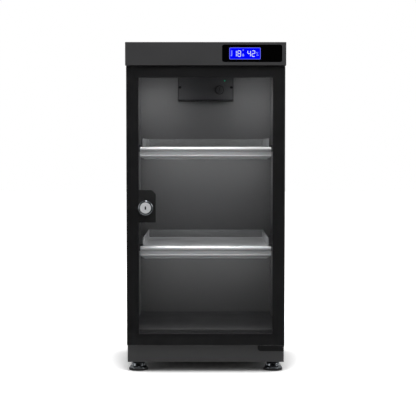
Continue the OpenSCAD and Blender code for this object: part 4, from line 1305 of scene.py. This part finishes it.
def make_cam_screw(x, z):
    """The cross-head screw that holds the cam."""
    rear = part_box("cam_screw")[1].y
    screw = turned("cam_fixing_screw", (x, rear - 2.2 * MM, z), (0, 1, 0),
                   [(7, 0), (7, 1.2), (6.4, 1.9), (5.0, 2.2)], 48)
    for turn in (0, QUARTER):
        arm = block("cross", (-3 * MM, -MM, -0.5 * MM), (3 * MM, 2 * MM, 0.5 * MM))
        arm.data.transform(Matrix.Translation((x, rear, z)) @ Matrix.Rotation(turn, 4, "Y"))
        cut(screw, [arm])
    fitted(screw, "latch", "zinc_plated_steel", "zinc_steel", "cam_screw")


def make_pan(level):
    """A flat pan with three low walls, and a ledge on each side that slides in a runner."""
    body = f"{level}_tray"
    low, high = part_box(body)
    tall = 17 * MM
    ledge = 4.5 * MM
    wall = 2 * MM
    deck = high.z - tall
    side = high.x - ledge
    inner = side - wall
    rear = high.y - wall
    pan = block(f"{level}_pan", (-side, low.y, low.z), (side, high.y, deck))
    for point, normal in (((-inner, 0, 0), (1, 0, 0)), ((inner, 0, 0), (1, 0, 0)),
                          ((0, rear, 0), (0, 1, 0))):
        split_faces(pan, lambda c, n: True, point, normal)
    pushed(pan, lambda c, n: n.z > 0.9 and (abs(c.x) > inner or c.y > rear), (0, 0, tall))
    for way in (-1, 1):
        pushed(pan, lambda c, n: n.x * way > 0.9 and c.z < deck and abs(c.x) > side - NEAR,
               (way * ledge, 0, 0))
    # Round inside corner between deck and walls, soft rims
    round_edges(pan, lambda a, b: same(a.z, b.z, deck) and (
        same(abs(a.x), abs(b.x), inner)
        or same(a.y, b.y, rear) and max(abs(a.x), abs(b.x)) < inner + NEAR), 1.5 * MM, 4)
    soften(pan, 0.6 * MM, 2, 50)
    fitted(pan, body, "clear_tray_styrene", "tray_plastic", body)


# Section of a tray's front, y and z in millimetres from the band's face and the top: the top
# edge is a chamfer that leans back 34 degrees, then come the band, the lip and the bead
FRONT_PROFILE = (
    (3.0, 0.0), (1.5, 0.0), (1.1, -0.15), (0.8, -0.5), (-0.95, -3.1), (-1.15, -3.6),
    (-1.2, -4.2), (-1.2, -6.6), (-1.05, -7.0), (-0.5, -7.3), (0.3, -7.5), (0.5, -7.9),
    (0.45, -8.5), (0.3, -8.8), (0.3, -16.2), (-0.5, -16.35), (-0.8, -16.8), (-0.9, -17.4),
    (-0.9, -18.6), (-0.75, -19.2), (-0.3, -19.7), (1.2, -19.9), (1.5, -20.3), (1.5, -21.6),
    (1.2, -22.0), (0.2, -22.2), (0.0, -22.6), (3.0, -22.6))


def make_tray_front(level):
    """The pale front of a tray with its rolled edge, and the rib that it is bonded by."""
    low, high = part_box(f"{level}_tray_front")
    front = low.y + 1.2 * MM
    rail = drawn(f"{level}_front_rail",
                 [(low.x, front + y * MM, high.z + z * MM) for y, z in FRONT_PROFILE],
                 (high.x - low.x, 0, 0))
    # Only the lower corners are rounded: the outline reaches well above the top
    cut(rail, [pane("outline", low.x, low.z + 2 * MM, high.x, high.z + 20 * MM,
                    low.y - 5 * MM, high.y + 5 * MM, 7 * MM, 8)], "INTERSECT")
    rib = block("rib", (low.x + 8 * MM, front + 2.9 * MM, low.z),
                (high.x - 8 * MM, front + 4.5 * MM, high.z - 3.1 * MM))
    soften(rib, 0.4 * MM, 2)
    joined([rail, rib])
    fitted(rail, f"{level}_tray", "pale_tray_styrene", "tray_plastic", f"{level}_tray_front",
           smooth=28)


def make_trays():
    """Two pull-out trays, each a pan and a front."""
    for level in ("upper", "lower"):
        make_pan(level)
        make_tray_front(level)


def make_feet():
    """Four levelling feet: rubber pad, chrome cup and hub, threaded stem."""
    x0, y0, _ = middle("front_left_pad")
    metal = turned("levelling_foot", (x0, y0, 5 * MM), (0, 0, 1),
                   [(18.6, 0), (18.6, 0.4), (18.4, 0.8), (16.4, 3.8), (15.6, 4.3),
                    (14.4, 4.2), (14.1, 4.8), (13.9, 7.2), (13.3, 9.8), (12.0, 12.0),
                    (9.5, 13.4), (4.3, 13.6), (4.0, 13.8), (4.0, 33.0), (3.4, 33.6)], 96)
    rubber = turned("rubber_pad", (x0, y0, 0), (0, 0, 1),
                    [(18.4, 0), (19.0, 0.3), (19.3, 1.0), (19.3, 3.9), (19.0, 4.6),
                     (18.4, 5.0)], 96)
    for across in ("left", "right"):
        for along in ("front", "rear"):
            corner = f"{along}_{across}"
            foot, pad = metal, rubber
            if corner != "front_left":
                x, y, _ = middle(f"{corner}_pad")
                move = (x - x0, y - y0, 0)
                foot = copied(metal, f"levelling_foot_{corner}", move)
                pad = copied(rubber, f"rubber_pad_{corner}", move)
            fitted(foot, f"foot_{corner}", "polished_chrome", "chrome", f"{corner}_foot")
            fitted(pad, f"foot_{corner}", "sealing_rubber", "rubber", f"{corner}_pad")


# Operators, one for each group of pieces and one for the stage


class Builder:
    """Runs the function of one operator."""

    def execute(self, context):
        self.make()
        return {"FINISHED"}


class BuildStage(Builder, bpy.types.Operator):
    """Lay the pale floor, hang the soft lights and set the photograph's camera"""

    bl_idname = "dry_cabinet.stage"
    bl_label = "Stage"
    make = staticmethod(make_stage)


class BuildOuterPanels(Builder, bpy.types.Operator):
    """Fold the steel body: sides, plinth, face frame, back and roof"""

    bl_idname = "dry_cabinet.outer_panels"
    bl_label = "Outer panels"
    make = staticmethod(make_outer_panels)


class BuildInnerWalls(Builder, bpy.types.Operator):
    """Paint the inner box and mould the tray runners"""

    bl_idname = "dry_cabinet.inner_walls"
    bl_label = "Inner walls"
    make = staticmethod(make_inner_walls)


class BuildHinges(Builder, bpy.types.Operator):
    """Make the hinge brackets and the strike plate"""

    bl_idname = "dry_cabinet.hinges"
    bl_label = "Hinges"
    make = staticmethod(make_hinge_brackets)


class BuildScrews(Builder, bpy.types.Operator):
    """Set the cross-head screws"""

    bl_idname = "dry_cabinet.screws"
    bl_label = "Screws"
    make = staticmethod(make_screws)


class BuildConsole(Builder, bpy.types.Operator):
    """Make the console with its lit display"""

    bl_idname = "dry_cabinet.console"
    bl_label = "Console"
    make = staticmethod(make_console)


class BuildDehumidifier(Builder, bpy.types.Operator):
    """Make the dehumidifier with its dial and lamp"""

    bl_idname = "dry_cabinet.dehumidifier"
    bl_label = "Dehumidifier"
    make = staticmethod(make_dehumidifier)


class BuildRearCover(Builder, bpy.types.Operator):
    """Make the vented rear cover with the power socket"""

    bl_idname = "dry_cabinet.rear_cover"
    bl_label = "Rear cover"
    make = staticmethod(make_rear_cover)


class BuildDoor(Builder, bpy.types.Operator):
    """Make the framed glass door with its gasket"""

    bl_idname = "dry_cabinet.door"
    bl_label = "Door"
    make = staticmethod(make_door)


class BuildLock(Builder, bpy.types.Operator):
    """Make the cam lock"""

    bl_idname = "dry_cabinet.lock"
    bl_label = "Lock"
    make = staticmethod(make_lock)


class BuildTrays(Builder, bpy.types.Operator):
    """Make the two pull-out trays"""

    bl_idname = "dry_cabinet.trays"
    bl_label = "Trays"
    make = staticmethod(make_trays)


class BuildFeet(Builder, bpy.types.Operator):
    """Make the four levelling feet"""

    bl_idname = "dry_cabinet.feet"
    bl_label = "Feet"
    make = staticmethod(make_feet)


BUILDERS = (BuildStage, BuildOuterPanels, BuildInnerWalls, BuildHinges, BuildScrews, BuildConsole,
            BuildDehumidifier, BuildRearCover, BuildDoor, BuildLock, BuildTrays, BuildFeet)


class DryCabinetPanel(bpy.types.Panel):
    """Lists the settings and the pieces of the dry cabinet"""

    bl_idname = "VIEW3D_PT_dry_cabinet"
    bl_label = "Camera dry cabinet"
    bl_space_type = "VIEW_3D"
    bl_region_type = "UI"
    bl_category = "Dry cabinet"

    def draw(self, context):
        for group in (context.scene.cabinet_sizes, context.scene.cabinet_colours):
            for name in type(group).__annotations__:
                self.layout.prop(group, name)
        for builder in BUILDERS:
            self.layout.operator(builder.bl_idname)


CLASSES = (CabinetColours, CabinetSizes, *BUILDERS, DryCabinetPanel)


def register():
    for made in CLASSES:
        bpy.utils.register_class(made)
    bpy.types.Scene.cabinet_colours = PointerProperty(type=CabinetColours)
    bpy.types.Scene.cabinet_sizes = PointerProperty(type=CabinetSizes)


def unregister():
    del bpy.types.Scene.cabinet_sizes
    del bpy.types.Scene.cabinet_colours
    for made in reversed(CLASSES):
        bpy.utils.unregister_class(made)


def main():
    register()
    bpy.ops.dry_cabinet.stage()
    bpy.ops.dry_cabinet.outer_panels()
    bpy.ops.dry_cabinet.inner_walls()
    bpy.ops.dry_cabinet.hinges()
    bpy.ops.dry_cabinet.screws()
    bpy.ops.dry_cabinet.console()
    bpy.ops.dry_cabinet.dehumidifier()
    bpy.ops.dry_cabinet.rear_cover()
    bpy.ops.dry_cabinet.door()
    bpy.ops.dry_cabinet.lock()
    bpy.ops.dry_cabinet.trays()
    bpy.ops.dry_cabinet.feet()


if __name__ == "__main__":
    main()
